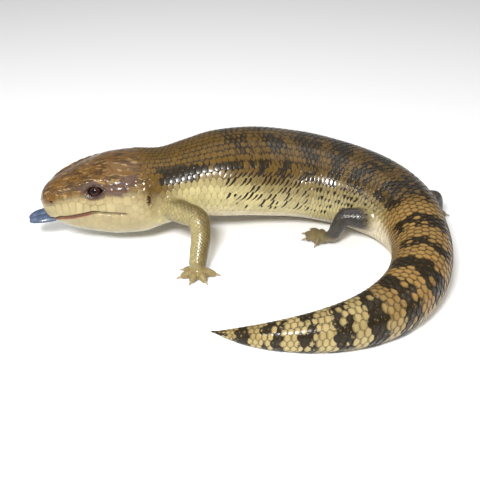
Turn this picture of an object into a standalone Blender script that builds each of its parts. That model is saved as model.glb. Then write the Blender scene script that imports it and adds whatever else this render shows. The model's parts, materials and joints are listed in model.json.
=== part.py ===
"""A blue tongued skink at rest, life size, as a still museum model.

The head, body and tail are one swept form. A spine lies in a level plane and bends by a heading
that is given at a few stations, and at each station the form has a half width, a height above the
spine, a depth below it and a height of the spine over the floor. What would reach below the floor
is flattened on it, so the rear belly and the tail lie on flats. The swept form is parted by thin
cuts into the head, neck, torso and tail lengths, and the legs are tubes cut clear of it.

Distances along the spine run from the snout to the tip of the tail. An angle round the body is 0
on the midline of the back, positive on the animal's left side and 180 degrees under the belly.
"""

import math

import bmesh
import bpy
import numpy as np
from mathutils import Matrix, Vector

MM = 0.001
GAP = 0.3 * MM

# The snout's place in the plan that all tables are drawn in, and the middle of the whole animal in
# that plan. The finished parts are moved so that the origin is on the floor under that middle.
SNOUT = (-116.1 * MM, -9.8 * MM)
PLAN_MIDDLE = (3.46 * MM, -26.33 * MM)

# Stations of the swept form, in millimetres and degrees: distance along the spine, heading,
# half width, height above the spine, depth below it and height of the spine over the floor.
STATIONS = np.array((
    (0, 14, 0.1, 0.1, 0.1, 30.0),
    (2, 14, 6.5, 5.2, 7.0, 30.2),
    (6.5, 14, 11.0, 9.0, 12.0, 30.8),
    (15, 14, 15.7, 12.6, 18.2, 31.5),
    (28, 13, 20.0, 16.9, 23.3, 32.5),
    (43.5, 12, 24.3, 20.8, 26.6, 33.0),
    (58.5, 12, 26.0, 20.3, 27.4, 33.6),
    (71.5, 14, 24.2, 19.6, 23.9, 33.6),
    (87, 18, 25.2, 22.4, 21.2, 33.6),
    (108.5, 20, 29.3, 26.6, 22.8, 32.5),
    (134.5, 13, 31.5, 27.7, 23.3, 29.8),
    (158.5, 0, 31.0, 27.1, 21.9, 26.0),
    (182, -18.5, 28.8, 25.0, 22.0, 23.1),
    (206, -41, 26.0, 22.2, 22.2, 21.6),
    (232, -67.5, 21.0, 20.0, 20.0, 19.4),
    (258, -88.5, 17.4, 17.8, 17.8, 17.2),
    (291, -110, 16.4, 16.4, 16.6, 16.0),
    (323, -137, 14.8, 14.4, 14.8, 14.1),
    (351.5, -163, 12.4, 11.8, 12.2, 11.6),
    (377.5, -181, 9.2, 8.8, 9.1, 8.6),
    (401.5, -195, 5.4, 5.1, 5.3, 4.9),
    (423, -206, 0.1, 0.1, 0.1, 1.7),
), float) * (MM, math.radians(1), MM, MM, MM, MM)
BODY_LENGTH = STATIONS[-1, 0]
FULLNESS_ABOVE = 2.1
FULLNESS_BELOW = 2.35

# Swells and hollows of the swept form, on both sides: distance in mm, angle in degrees, reach
# along in mm, reach round in degrees and height in mm.
RELIEF = (
    (17, 52, 10, 8, 1.1),
    (30, 48, 9, 8, 1.5),
    (30.9, 67, 6, 14, -1.6),
    (17, 78, 8, 14, -0.9),
    (45, 68, 8, 12, 0.7),
    (13, 53, 6, 5, 0.5),
    (24, 49, 9, 5, 0.5),
    (44.5, 66, 6, 7, 0.8),
    (51.5, 57, 5, 6, 0.6),
    (44, 78, 8, 3.5, -0.6),
    (34, 89, 6, 6, 0.4),
    (53, 108, 10, 22, 1.5),
    (63, 88, 5, 13, -0.9),
    (75, 104, 10, 20, 1.6),
    (228, 92, 12, 26, 1.6),
)
LIP_REACH = 2.4 * MM
LIP_SWELL = 0.6 * MM

# The line of the mouth: distance along the spine and height over the floor, in millimetres.
MOUTH_LINE = np.array((
    (-6, 19.6), (0, 19.8), (6, 20.8), (9.5, 23.4), (16, 25.0),
    (23, 27.0), (30.5, 28.9), (37.5, 28.3), (48, 28.4),
), float) * MM
MOUTH_CORNER = 48 * MM
MOUTH_OPENING = 0.5 * MM

# The lengths that the swept form is parted into: name, start and end, sides and ring spacing.
HEAD_END = 66 * MM
HEAD_SIDES = 48
LENGTHS = (
    ("neck", 66, 87, 32, 6),
    ("torso_front", 87, 134, 32, 7),
    ("torso_middle", 134, 182, 32, 7),
    ("torso_rear", 182, 240, 32, 7),
    ("tail_base", 240, 291, 26, 7),
    ("tail_middle", 291, 351, 22, 7),
    ("tail_tip", 351, 423, 18, 7),
)

# Features of the head: distance along the spine in mm, and angle round it in degrees.
EYE_PLACE = (30.9, 65.5)
EYE_RADIUS = 4.2 * MM
EYE_DEPTH = 2.5 * MM
LID_HALF_LENGTH = 4.5 * MM
LID_HALF_HEIGHT = 3.9 * MM
LID_THICKNESS = 1.0 * MM
NOSTRIL_PLACE = (6.0, 80)
NOSTRIL_RADIUS = 0.95 * MM
EAR_PLACE = (60.8, 87)
EAR_HALF_SIZES = (1.5 * MM, 3.0 * MM, 2.6 * MM)
EAR_RIM = 0.6 * MM
EAR_LOBULES = ((-1.3, 1.5), (-1.4, -0.3), (-1.2, -2.0))
LOBULE_RADIUS = 0.85 * MM

# The tongue lies out of the mouth, from its root to its tip.
TONGUE_CENTRE = (2.5 * MM, 1.0 * MM, 19.9 * MM)
TONGUE_HALF_SIZES = (10.5 * MM, 5.4 * MM, 2.0 * MM)
TONGUE_DROOP = 2.2 * MM
TONGUE_FULLNESS = 0.15
TONGUE_ROLL = math.radians(22)

# Each leg's path in millimetres over the floor, from inside the body to the wrist or ankle, with
# the radius at each point, and each foot's palm with the tips of its toes, thumb side first.
LEGS = {
    "foreleg_left": (
        (-41, -2, 27, 8.5), (-40, -13, 28, 8.0), (-34, -22, 29, 7.0), (-23.5, -29, 27.5, 6.3),
        (-22, -34.5, 20, 5.8), (-23.2, -41, 11.5, 5.4), (-23.8, -44, 7.2, 5.2),
    ),
    "foreleg_right": (
        (-43, 18, 27, 8.5), (-44, 30, 28, 8.0), (-41, 39, 28.5, 7.0), (-34, 46, 26, 6.3),
        (-34, 50, 19, 5.8), (-37.5, 53.5, 11.5, 5.4), (-39, 55, 7.2, 5.2),
    ),
    "hindleg_left": (
        (88, -5, 16, 8.5), (80, -10.5, 18, 8.0), (71, -13, 19.5, 6.8), (62, -12.5, 20, 5.4),
        (57.5, -13.5, 14.5, 4.5), (55.5, -13, 9.5, 4.0), (54, -11.5, 6.2, 3.9),
    ),
    "hindleg_right": (
        (96, 0, 16, 8.5), (105, 7, 17, 7.6), (112.5, 11.5, 18.5, 6.2), (118.5, 14.5, 18, 5.0),
        (121, 16.5, 13, 4.4), (122, 18, 9, 4.0), (122, 18, 6.2, 3.9),
    ),
}
FEET = {
    "forefoot_left": (
        (-23.7, -45.5), (6.4, 5.6, 3.6),
        ((-33, -40.5), (-34.7, -48.8), (-27.9, -54.8), (-18.6, -54.6), (-11.8, -46)),
    ),
    "forefoot_right": (
        (-39.3, 56), (6.4, 5.6, 3.6),
        ((-46.5, 48.5), (-51, 54.5), (-49.5, 62.5), (-41.5, 67), (-31, 64.5)),
    ),
    "hindfoot_left": (
        (48.5, -7), (7.0, 5.4, 3.4),
        ((50.5, 3.2), (43, 5.4), (38.2, 0), (38, -7.2), (44.5, -14.5)),
    ),
    "hindfoot_right": (
        (122, 21), (5.4, 7.0, 3.4),
        ((114, 27.5), (117.5, 32.5), (123, 33.5), (128, 30.5), (130.5, 22.5)),
    ),
}
TOE_RADII = (2.5, 2.3, 2.0, 1.6, 0.9, 0.3)
TOE_HEIGHTS = (3.0, 3.3, 2.7, 1.9, 1.4, 0.7)
TOE_STEPS = (0.0, 0.35, 0.6, 0.8, 0.9, 1.0)
PALM_HEIGHT = 2.6 * MM
ANKLE_CUT = 6.0 * MM
BLOCK_SIDE = 600 * MM
BLOCK_DEPTH = 80 * MM

# Colour and roughness of each finish, as read from the photograph.
FINISHES = {
    "head_skin": ((0.36, 0.25, 0.09), 0.35),
    "jaw_skin": ((0.62, 0.52, 0.28), 0.38),
    "back_skin": ((0.42, 0.30, 0.12), 0.38),
    "tail_skin": ((0.44, 0.29, 0.11), 0.40),
    "leg_skin": ((0.42, 0.35, 0.17), 0.35),
    "hindleg_skin": ((0.15, 0.12, 0.09), 0.38),
    "foot_skin": ((0.48, 0.34, 0.13), 0.45),
    "eye": ((0.07, 0.02, 0.015), 0.05),
    "tongue": ((0.13, 0.20, 0.38), 0.3),
}


def smooth_through(at, places, values):
    """A monotone cubic through the places: its slope at a place is a weighted harmonic mean of the
    slopes on its two sides, and none where they differ in sign."""
    places = np.asarray(places, float)
    values = np.asarray(values, float)
    step = np.diff(places)
    slope = np.diff(values) / step
    tangent = np.zeros_like(values)
    before = 2 * step[1:] + step[:-1]
    after = step[1:] + 2 * step[:-1]
    same = slope[1:] * slope[:-1] > 0
    lower = np.where(same, slope[:-1], 1.0)
    upper = np.where(same, slope[1:], 1.0)
    tangent[1:-1] = np.where(same, (before + after) / (before / lower + after / upper), 0.0)
    tangent[0], tangent[-1] = slope[0], slope[-1]
    index = np.clip(np.searchsorted(places, at) - 1, 0, len(step) - 1)
    t = (at - places[index]) / step[index]
    return (
        (1 + 2 * t) * (1 - t) ** 2 * values[index]
        + t * (1 - t) ** 2 * step[index] * tangent[index]
        + t * t * (3 - 2 * t) * values[index + 1]
        + t * t * (t - 1) * step[index] * tangent[index + 1]
    )


def spine_table(samples=2001):
    """The spine's places, found by adding up short steps along its heading."""
    along = np.linspace(0, BODY_LENGTH, samples)
    heading = smooth_through(along, STATIONS[:, 0], STATIONS[:, 1])
    steps = np.diff(along)
    middle = (heading[1:] + heading[:-1]) / 2
    x = SNOUT[0] + np.concatenate([[0], np.cumsum(np.cos(middle) * steps)])
    y = SNOUT[1] + np.concatenate([[0], np.cumsum(np.sin(middle) * steps)])
    return along, x, y, heading


SPINE = spine_table()


def spine_at(along):
    """Place, height and heading of the spine. Before the snout it runs on straight."""
    inside = np.clip(along, 0, BODY_LENGTH)
    x, y, heading = (np.interp(inside, SPINE[0], column) for column in SPINE[1:])
    beyond = along - inside
    height = smooth_through(inside, STATIONS[:, 0], STATIONS[:, 5])
    return x + beyond * np.cos(heading), y + beyond * np.sin(heading), height, heading


def mouth_height(along):
    return smooth_through(along, MOUTH_LINE[:, 0], MOUTH_LINE[:, 1])


def relief(along, angle, height):
    """How far the skin stands out from the plain section: soft swells, and the two lips."""
    degrees = np.abs(np.degrees((angle + np.pi) % (2 * np.pi) - np.pi))
    total = np.zeros(np.broadcast(along, angle).shape)
    for place, centre, reach, spread, swell in RELIEF:
        far = ((along / MM - place) / reach) ** 2 + ((degrees - centre) / spread) ** 2
        total = total + swell * MM * np.exp(-far)
    above = np.abs(height - mouth_height(along)) / LIP_REACH
    lips = LIP_SWELL * (np.exp(-((above - 1) ** 2) * 2) - np.exp(-((above * 3) ** 2)))
    fade = np.clip((MOUTH_CORNER - along) / (8 * MM), 0, 1) * np.clip(along / (8 * MM), 0, 1)
    return total + lips * fade


def skin_at(along, angle, grow=0.0):
    """Points of the swept form: a rounded section, fuller below than above, set across the spine."""
    along, angle = np.broadcast_arrays(np.asarray(along, float), np.asarray(angle, float))
    x, y, height, heading = spine_at(along)
    width, above, below = (smooth_through(along, STATIONS[:, 0], STATIONS[:, k]) for k in (2, 3, 4))
    upper = np.cos(angle) > 0
    power = np.where(upper, FULLNESS_ABOVE, FULLNESS_BELOW)
    across = np.abs(np.sin(angle)) / width
    upright = np.abs(np.cos(angle)) / np.where(upper, above, below)
    reach = (across**power + upright**power) ** (-1 / power)
    swell = relief(along, angle, height + reach * np.cos(angle))
    reach = reach + swell * np.clip(reach / (10 * MM), 0, 1) + grow
    aside = reach * np.sin(angle)
    rise = np.maximum(height + reach * np.cos(angle), 0)
    return np.stack([x + aside * np.sin(heading), y - aside * np.cos(heading), rise], -1)


def skin_frame(place, side):
    """A matrix on the skin at a named place: X runs to the tail, Y runs round, Z stands out."""
    along = place[0] * MM
    angle = side * math.radians(place[1])
    step = 0.5 * MM
    point = skin_at(along, angle)
    to_tail = Vector(skin_at(along + step, angle) - skin_at(along - step, angle)).normalized()
    turn = 0.02
    round_it = Vector(skin_at(along, angle - turn) - skin_at(along, angle + turn))
    out = to_tail.cross(round_it).normalized()
    round_it = out.cross(to_tail)
    return Matrix.Translation(Vector(point)) @ Matrix((to_tail, round_it, out)).transposed().to_4x4()


def finish(name):
    """The material of a finish, made once."""
    if name in bpy.data.materials:
        return bpy.data.materials[name]
    colour, roughness = FINISHES[name]
    material = bpy.data.materials.new(name)
    material.use_nodes = True
    shader = material.node_tree.nodes["Principled BSDF"]
    shader.inputs["Base Color"].default_value = (*colour, 1)
    shader.inputs["Roughness"].default_value = roughness
    shader.inputs["Metallic"].default_value = 0.0
    return material


def add_object(name, mesh, collection, finish_name=None):
    body = bpy.data.objects.new(name, mesh)
    collection.objects.link(body)
    if finish_name:
        mesh.materials.clear()
        mesh.materials.append(finish(finish_name))
    return body


def loft(name, rings, collection, tip=None):
    """A closed surface through rings of points, with a fan to its middle at each end, or to a tip
    at the first."""
    count, sides = rings.shape[:2]
    first = rings[0].mean(axis=0) if tip is None else tip
    points = np.concatenate([rings.reshape(-1, 3), [first, rings[-1].mean(axis=0)]])
    start = np.arange(count - 1)[:, None] * sides + np.arange(sides)
    following = np.arange(count - 1)[:, None] * sides + (np.arange(sides) + 1) % sides
    quads = np.stack([start, following, following + sides, start + sides], -1).reshape(-1, 4)
    around = np.arange(sides)
    beside = (around + 1) % sides
    head_fan = np.stack([np.full(sides, count * sides), beside, around], -1)
    last = (count - 1) * sides
    tail_fan = np.stack([np.full(sides, count * sides + 1), last + around, last + beside], -1)
    mesh = bpy.data.meshes.new(name)
    mesh.from_pydata(points.tolist(), [], quads.tolist() + head_fan.tolist() + tail_fan.tolist())
    outwards(mesh)
    return add_object(name, mesh, collection)


def outwards(mesh):
    """Turns the faces of a closed mesh outwards."""
    form = bmesh.new()
    form.from_mesh(mesh)
    bmesh.ops.recalc_face_normals(form, faces=form.faces)
    form.to_mesh(mesh)
    form.free()


def swept_rings(start, end, sides, spacing, grow=0.0):
    """Rings of the swept form, evenly spaced between two distances along the spine."""
    count = max(2, round((end - start) / spacing) + 1)
    along = np.linspace(start, end, count)
    angle = np.linspace(-math.pi, math.pi, sides, endpoint=False)
    return skin_at(along[:, None], angle[None, :], grow)


def ball(name, half_sizes, place, collection, segments=20, rings=12):
    """An ellipsoid with its axes along those of a matrix."""
    form = bmesh.new()
    bmesh.ops.create_uvsphere(form, u_segments=segments, v_segments=rings, radius=1)
    bmesh.ops.transform(form, matrix=place @ Matrix.Diagonal((*half_sizes, 1)), verts=form.verts)
    mesh = bpy.data.meshes.new(name)
    form.to_mesh(mesh)
    form.free()
    return add_object(name, mesh, collection)


def ring(name, half_length, half_height, thickness, place, collection):
    """An oval ring, for a lid or the rim of an ear."""
    bpy.ops.mesh.primitive_torus_add(
        major_radius=1, minor_radius=thickness / half_length, major_segments=20, minor_segments=6
    )
    made = bpy.context.object
    mesh = made.data
    bpy.data.objects.remove(made)
    mesh.transform(place @ Matrix.Diagonal((half_length, half_height, half_length, 1)))
    return add_object(name, mesh, collection)


def tube(name, points, collection, resolution):
    """A tube with filled ends along points that give place and radius, made a closed mesh."""
    curve = bpy.data.curves.new(name, "CURVE")
    curve.dimensions = "3D"
    curve.bevel_depth = 1.0
    curve.bevel_resolution = resolution
    curve.use_fill_caps = True
    spline = curve.splines.new("POLY")
    spline.points.add(len(points) - 1)
    for spline_point, (x, y, z, radius) in zip(spline.points, points):
        spline_point.co = (x, y, z, 1)
        spline_point.radius = radius
    guide = bpy.data.objects.new(name, curve)
    collection.objects.link(guide)
    graph = bpy.context.evaluated_depsgraph_get()
    mesh = bpy.data.meshes.new_from_object(guide.evaluated_get(graph))
    bpy.data.objects.remove(guide)
    form = bmesh.new()
    form.from_mesh(mesh)
    bmesh.ops.remove_doubles(form, verts=form.verts, dist=1e-6)
    bmesh.ops.recalc_face_normals(form, faces=form.faces)
    form.to_mesh(mesh)
    form.free()
    return add_object(name, mesh, collection)


def smooth_path(points, count):
    """Evenly numbered points of a smooth curve through the given ones, radius included."""
    points = np.array(points, float) * MM
    length = np.concatenate([[0], np.cumsum(np.linalg.norm(np.diff(points[:, :3], axis=0), axis=1))])
    at = np.linspace(0, length[-1], count)
    return np.stack([smooth_through(at, length, points[:, k]) for k in range(4)], -1)


def boolean(target, tool, operation):
    """Joins the tool to the target or cuts it away, and removes the tool."""
    modifier = target.modifiers.new(operation, "BOOLEAN")
    modifier.operation = operation
    modifier.solver = "MANIFOLD"
    modifier.object = tool
    graph = bpy.context.evaluated_depsgraph_get()
    mesh = bpy.data.meshes.new_from_object(target.evaluated_get(graph))
    target.modifiers.clear()
    target.data = mesh
    bpy.data.objects.remove(tool)


def join_all(target, pieces):
    """One Boolean union of the target with a collection of closed pieces, which are then removed."""
    group = bpy.data.collections.new("joined to " + target.name)
    bpy.context.scene.collection.children.link(group)
    for piece in pieces:
        group.objects.link(piece)
    modifier = target.modifiers.new("Union", "BOOLEAN")
    modifier.operation = "UNION"
    modifier.solver = "MANIFOLD"
    modifier.operand_type = "COLLECTION"
    modifier.collection = group
    graph = bpy.context.evaluated_depsgraph_get()
    mesh = bpy.data.meshes.new_from_object(target.evaluated_get(graph))
    target.modifiers.clear()
    target.data = mesh
    for piece in pieces:
        bpy.data.objects.remove(piece)
    bpy.data.collections.remove(group)


def keep_largest(target):
    """Keeps the largest closed surface of a node and drops loose scraps."""
    form = bmesh.new()
    form.from_mesh(target.data)
    bmesh.ops.triangulate(form, faces=form.faces)
    left = set(form.verts)
    surfaces = []
    while left:
        reached = {left.pop()}
        front = list(reached)
        while front:
            for edge in front.pop().link_edges:
                for vertex in edge.verts:
                    if vertex in left:
                        left.discard(vertex)
                        reached.add(vertex)
                        front.append(vertex)
        surfaces.append(reached)
    largest = max(surfaces, key=len)
    bmesh.ops.delete(form, geom=[v for v in form.verts if v not in largest], context="VERTS")
    form.to_mesh(target.data)
    form.free()


def complete(target, finish_name):
    keep_largest(target)
    target.data.materials.clear()
    target.data.materials.append(finish(finish_name))
    target.data.shade_smooth()
    target.data.set_sharp_from_angle(angle=math.radians(40))


def mouth_block(name, collection, lift, end):
    """A block under the line of the mouth, raised by a lift, for parting the jaws."""
    along = np.linspace(MOUTH_LINE[0, 0], end, 24)
    x, y, _, heading = spine_at(along)
    top = mouth_height(along) + lift
    half = 45 * MM
    floor = np.full_like(top, -10 * MM)
    corners = []
    for side, height in ((half, top), (0, top), (-half, top), (-half, floor), (half, floor)):
        corners.append(np.stack([x + side * np.sin(heading), y - side * np.cos(heading), height], -1))
    return loft(name, np.stack(corners, 1), collection)


def tongue_form(name, collection, grow=0.0):
    """A flat tongue, broad and round at its tip, that bends down towards it, along the line of the
    head."""
    sizes = [size + grow for size in TONGUE_HALF_SIZES]
    body = ball(name, sizes, Matrix.Identity(4), collection, segments=20, rings=10)
    x, y, _, heading = (float(value) for value in spine_at(np.array(TONGUE_CENTRE[0])))
    ahead = Matrix.Rotation(heading, 4, "Z")
    for vertex in body.data.vertices:
        reach = vertex.co.x / sizes[0]
        vertex.co.y *= max(1 - reach * reach, 0.04) ** -TONGUE_FULLNESS
        vertex.co.z -= TONGUE_DROOP * max(0, -reach) ** 2
    aside = TONGUE_CENTRE[1]
    place = Vector((x + aside * math.sin(heading), y - aside * math.cos(heading), TONGUE_CENTRE[2]))
    body.data.transform(Matrix.Translation(place) @ ahead @ Matrix.Rotation(TONGUE_ROLL, 4, "X"))
    return body


def make_head(parts, cutters):
    """The head with lids, ears, nostrils and lips, parted from the lower jaw by the line of the mouth."""
    along = np.concatenate([
        np.array([0.4, 1.1, 2.1, 3.4, 5.0]) * MM, np.linspace(6.8 * MM, HEAD_END - GAP / 2, 24)
    ])
    angle = np.linspace(-math.pi, math.pi, HEAD_SIDES, endpoint=False)
    rings = skin_at(along[:, None], angle[None, :])
    snout = skin_at(0.0, 0.0)
    head = loft("head", rings, parts, tip=snout)
    jaw = loft("lower_jaw", rings, parts, tip=snout)

    raised = []
    for side in (1, -1):
        eye = skin_frame(EYE_PLACE, side)
        raised.append(ring("lid", LID_HALF_LENGTH, LID_HALF_HEIGHT, LID_THICKNESS, eye, cutters))
        ear = skin_frame(EAR_PLACE, side)
        half_length, half_height = (size + EAR_RIM for size in EAR_HALF_SIZES[:2])
        raised.append(ring("rim", half_length, half_height, EAR_RIM, ear, cutters))
    join_all(head, raised)

    for side in (1, -1):
        eye = skin_frame(EYE_PLACE, side) @ Matrix.Translation((0, 0, -EYE_DEPTH))
        socket = EYE_RADIUS + GAP
        boolean(head, ball("socket", (socket,) * 3, eye, cutters, 18, 10), "DIFFERENCE")
        ball("eye_left" if side > 0 else "eye_right", (EYE_RADIUS,) * 3, eye, parts, 18, 10)
        ear = skin_frame(EAR_PLACE, side)
        boolean(head, ball("ear cup", EAR_HALF_SIZES, ear, cutters, 12, 8), "DIFFERENCE")
        nostril = skin_frame(NOSTRIL_PLACE, side)
        pit = (NOSTRIL_RADIUS * 1.3, NOSTRIL_RADIUS, NOSTRIL_RADIUS * 1.4)
        boolean(head, ball("nostril", pit, nostril, cutters, 10, 6), "DIFFERENCE")
    lobules = []
    for side in (1, -1):
        for ahead, up in EAR_LOBULES:
            place = skin_frame(EAR_PLACE, side) @ Matrix.Translation((ahead * MM, up * MM, -0.2 * MM))
            lobules.append(ball("lobule", (LOBULE_RADIUS,) * 3, place, cutters, 8, 5))
    join_all(head, lobules)

    half_opening = MOUTH_OPENING / 2
    below = mouth_block("below mouth", cutters, half_opening, MOUTH_CORNER + half_opening)
    boolean(head, below, "DIFFERENCE")
    boolean(jaw, mouth_block("jaw block", cutters, -half_opening, MOUTH_CORNER - half_opening), "INTERSECT")
    boolean(head, tongue_form("tongue room", cutters, GAP), "DIFFERENCE")
    boolean(jaw, tongue_form("tongue bed", cutters, GAP), "DIFFERENCE")
    tongue = tongue_form("tongue", parts)
    complete(head, "head_skin")
    complete(jaw, "jaw_skin")
    complete(tongue, "tongue")
    for name in ("eye_left", "eye_right"):
        complete(bpy.data.objects[name], "eye")


def make_lengths(parts):
    """The neck, torso and tail lengths, each cut square across the spine with a thin gap between."""
    for name, start, end, sides, spacing in LENGTHS:
        first = start * MM + GAP / 2
        last = end * MM - (GAP / 2 if end * MM < BODY_LENGTH else 1.5 * MM)
        length = loft(name, swept_rings(first, last, sides, spacing * MM), parts)
        complete(length, "tail_skin" if name.startswith("tail") else "back_skin")


def body_block(name, collection, grow):
    """The whole swept form, a little swollen, for cutting the legs clear of it."""
    return loft(name, swept_rings(50 * MM, 290 * MM, 36, 5 * MM, grow), collection)


def make_leg(name, parts, cutters):
    """A leg as one smooth tapering tube, cut clear of the body and level above the foot."""
    leg = tube(name, smooth_path(LEGS[name], 13), parts, 3)
    boolean(leg, body_block("body room", cutters, GAP), "DIFFERENCE")
    under = level_block("under ankle", cutters, -BLOCK_DEPTH, ANKLE_CUT + GAP / 2)
    boolean(leg, under, "DIFFERENCE")
    complete(leg, "leg_skin" if name.startswith("fore") else "hindleg_skin")


def level_block(name, collection, low, high):
    """A wide block between two levels over the floor."""
    form = bmesh.new()
    bmesh.ops.create_cube(form, size=1)
    size = Matrix.Diagonal((BLOCK_SIDE, BLOCK_SIDE, high - low, 1))
    place = Matrix.Translation((0, 0, (low + high) / 2))
    bmesh.ops.transform(form, matrix=place @ size, verts=form.verts)
    mesh = bpy.data.meshes.new(name)
    form.to_mesh(mesh)
    form.free()
    return add_object(name, mesh, collection)


def make_foot(name, parts, cutters):
    """A palm with the end of the leg and five toes that taper into claws, flat on the floor."""
    (palm_x, palm_y), half_sizes, tips = FEET[name]
    leg_path = LEGS[name.replace("foot", "leg")]
    place = Matrix.Translation((palm_x * MM, palm_y * MM, PALM_HEIGHT))
    palm = ball(name, [size * MM for size in half_sizes], place, parts, 12, 8)
    wrist_radius = leg_path[-1][3]
    stem = [leg_path[-2], leg_path[-1], (palm_x, palm_y, 2.0, wrist_radius * 0.9)]
    pieces = [tube("stem", smooth_path(stem, 5), cutters, 3)]
    for tip_x, tip_y in tips:
        toe = []
        for step, height, radius in zip(TOE_STEPS, TOE_HEIGHTS, TOE_RADII):
            x = palm_x + (tip_x - palm_x) * step
            y = palm_y + (tip_y - palm_y) * step
            toe.append((x * MM, y * MM, height * MM, radius * MM))
        pieces.append(tube("toe", toe, cutters, 1))
    join_all(palm, pieces)
    above = level_block("above ankle", cutters, ANKLE_CUT - GAP / 2, BLOCK_DEPTH)
    boolean(palm, above, "DIFFERENCE")
    boolean(palm, level_block("under floor", cutters, -BLOCK_DEPTH, 0.0), "DIFFERENCE")
    boolean(palm, body_block("body room", cutters, GAP), "DIFFERENCE")
    complete(palm, "foot_skin")


def main():
    for leftover in list(bpy.data.objects):
        bpy.data.objects.remove(leftover)
    parts = bpy.data.collections.new("blue_tongued_skink")
    cutters = bpy.data.collections.new("cutters")
    bpy.context.scene.collection.children.link(parts)
    bpy.context.scene.collection.children.link(cutters)
    make_head(parts, cutters)
    make_lengths(parts)
    for name in LEGS:
        make_leg(name, parts, cutters)
    for name in FEET:
        make_foot(name, parts, cutters)
    for part in parts.objects:
        part.data.transform(Matrix.Translation((-PLAN_MIDDLE[0], -PLAN_MIDDLE[1], 0)))


main()
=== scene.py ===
"""The looks of a blue tongued skink, a still museum model at life size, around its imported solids.

The head, body and tail are one swept surface along a spine, whose plan is laid out by its heading.
Distances along the spine run from the snout to the tip of the tail: one called along is in metres,
and one called place is in millimetres. An angle round the body is 0 on the midline of the back,
positive on the animal's left side and 180 degrees under the belly.
"""

import json
import math

import bpy
import numpy as np
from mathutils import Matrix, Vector

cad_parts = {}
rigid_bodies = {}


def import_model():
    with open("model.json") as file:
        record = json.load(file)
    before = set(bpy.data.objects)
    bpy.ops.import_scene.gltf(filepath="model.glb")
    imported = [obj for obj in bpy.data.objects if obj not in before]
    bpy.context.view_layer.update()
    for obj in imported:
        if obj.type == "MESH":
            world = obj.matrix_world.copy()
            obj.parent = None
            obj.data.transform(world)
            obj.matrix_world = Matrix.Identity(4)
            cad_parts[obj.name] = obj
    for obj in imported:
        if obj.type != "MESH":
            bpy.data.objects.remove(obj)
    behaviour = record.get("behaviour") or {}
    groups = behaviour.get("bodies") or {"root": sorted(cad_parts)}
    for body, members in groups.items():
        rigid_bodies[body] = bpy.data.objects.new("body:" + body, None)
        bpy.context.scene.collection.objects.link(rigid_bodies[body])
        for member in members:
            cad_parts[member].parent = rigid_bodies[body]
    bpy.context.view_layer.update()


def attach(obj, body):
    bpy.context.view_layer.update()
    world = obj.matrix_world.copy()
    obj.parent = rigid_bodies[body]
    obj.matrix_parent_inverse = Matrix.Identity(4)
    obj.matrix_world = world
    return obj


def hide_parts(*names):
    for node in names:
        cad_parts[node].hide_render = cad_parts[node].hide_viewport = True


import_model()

bl_info = {
    "name": "Blue tongued skink",
    "version": (1, 0, 0),
    "blender": (4, 5, 0),
    "location": "View3D > Sidebar > Skink",
    "description": "Dresses the solids of a blue tongued skink with skin, scales, eyes, claws and tongue",
    "category": "Add Mesh",
}

MM = 0.001

# The snout in the plan that the tables are drawn in, and the middle of the animal in that plan.
SNOUT = (-116.1 * MM, -9.8 * MM)
PLAN_MIDDLE = (3.46 * MM, -26.33 * MM)

# Stations of the swept form: distance along the spine, heading in degrees, half width, height
# above the spine, depth below it and height of the spine over the floor, in millimetres.
STATIONS = np.array((
    (0, 14, 0.1, 0.1, 0.1, 30.0),
    (2, 14, 6.5, 5.2, 7.0, 30.2),
    (6.5, 14, 11.0, 9.0, 12.0, 30.8),
    (15, 14, 15.7, 12.6, 18.2, 31.5),
    (28, 13, 20.0, 16.9, 23.3, 32.5),
    (43.5, 12, 24.3, 20.8, 26.6, 33.0),
    (58.5, 12, 26.0, 20.3, 27.4, 33.6),
    (71.5, 14, 24.2, 19.6, 23.9, 33.6),
    (87, 18, 25.2, 22.4, 21.2, 33.6),
    (108.5, 20, 29.3, 26.6, 22.8, 32.5),
    (134.5, 13, 31.5, 27.7, 23.3, 29.8),
    (158.5, 0, 31.0, 27.1, 21.9, 26.0),
    (182, -18.5, 28.8, 25.0, 22.0, 23.1),
    (206, -41, 26.0, 22.2, 22.2, 21.6),
    (232, -67.5, 21.0, 20.0, 20.0, 19.4),
    (258, -88.5, 17.4, 17.8, 17.8, 17.2),
    (291, -110, 16.4, 16.4, 16.6, 16.0),
    (323, -137, 14.8, 14.4, 14.8, 14.1),
    (351.5, -163, 12.4, 11.8, 12.2, 11.6),
    (377.5, -181, 9.2, 8.8, 9.1, 8.6),
    (401.5, -195, 5.4, 5.1, 5.3, 4.9),
    (423, -206, 0.1, 0.1, 0.1, 1.7),
), float) * (MM, math.radians(1), MM, MM, MM, MM)
BODY_LENGTH = STATIONS[-1, 0]
FULLNESS_ABOVE = 2.1
FULLNESS_BELOW = 2.35

# Swells and hollows: distance in mm, angle, reach along in mm, reach round in degrees, height in mm.
RELIEF = (
    (17, 52, 10, 8, 1.1),
    (30, 48, 9, 8, 1.5),
    (30.9, 67, 6, 14, -1.6),
    (17, 78, 8, 14, -0.9),
    (45, 68, 8, 12, 0.7),
    (13, 53, 6, 5, 0.5),
    (24, 49, 9, 5, 0.5),
    (44.5, 66, 6, 7, 0.8),
    (51.5, 57, 5, 6, 0.6),
    (44, 78, 8, 3.5, -0.6),
    (34, 89, 6, 6, 0.4),
    (53, 108, 10, 22, 1.5),
    (63, 88, 5, 13, -0.9),
    (75, 104, 10, 20, 1.6),
    (228, 92, 12, 26, 1.6),
)

# The swell of the lips beside the line of the mouth, which is given as distance and height.
LIP_REACH = 2.4 * MM
LIP_SWELL = 0.6 * MM
LIP_FADE = 8 * MM
MOUTH_LINE = np.array((
    (-6, 19.6), (0, 19.8), (6, 20.8), (9.5, 23.4), (16, 25.0),
    (23, 27.0), (30.5, 28.9), (37.5, 28.3), (48, 28.4),
), float) * MM
MOUTH_CORNER = 48 * MM

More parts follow.
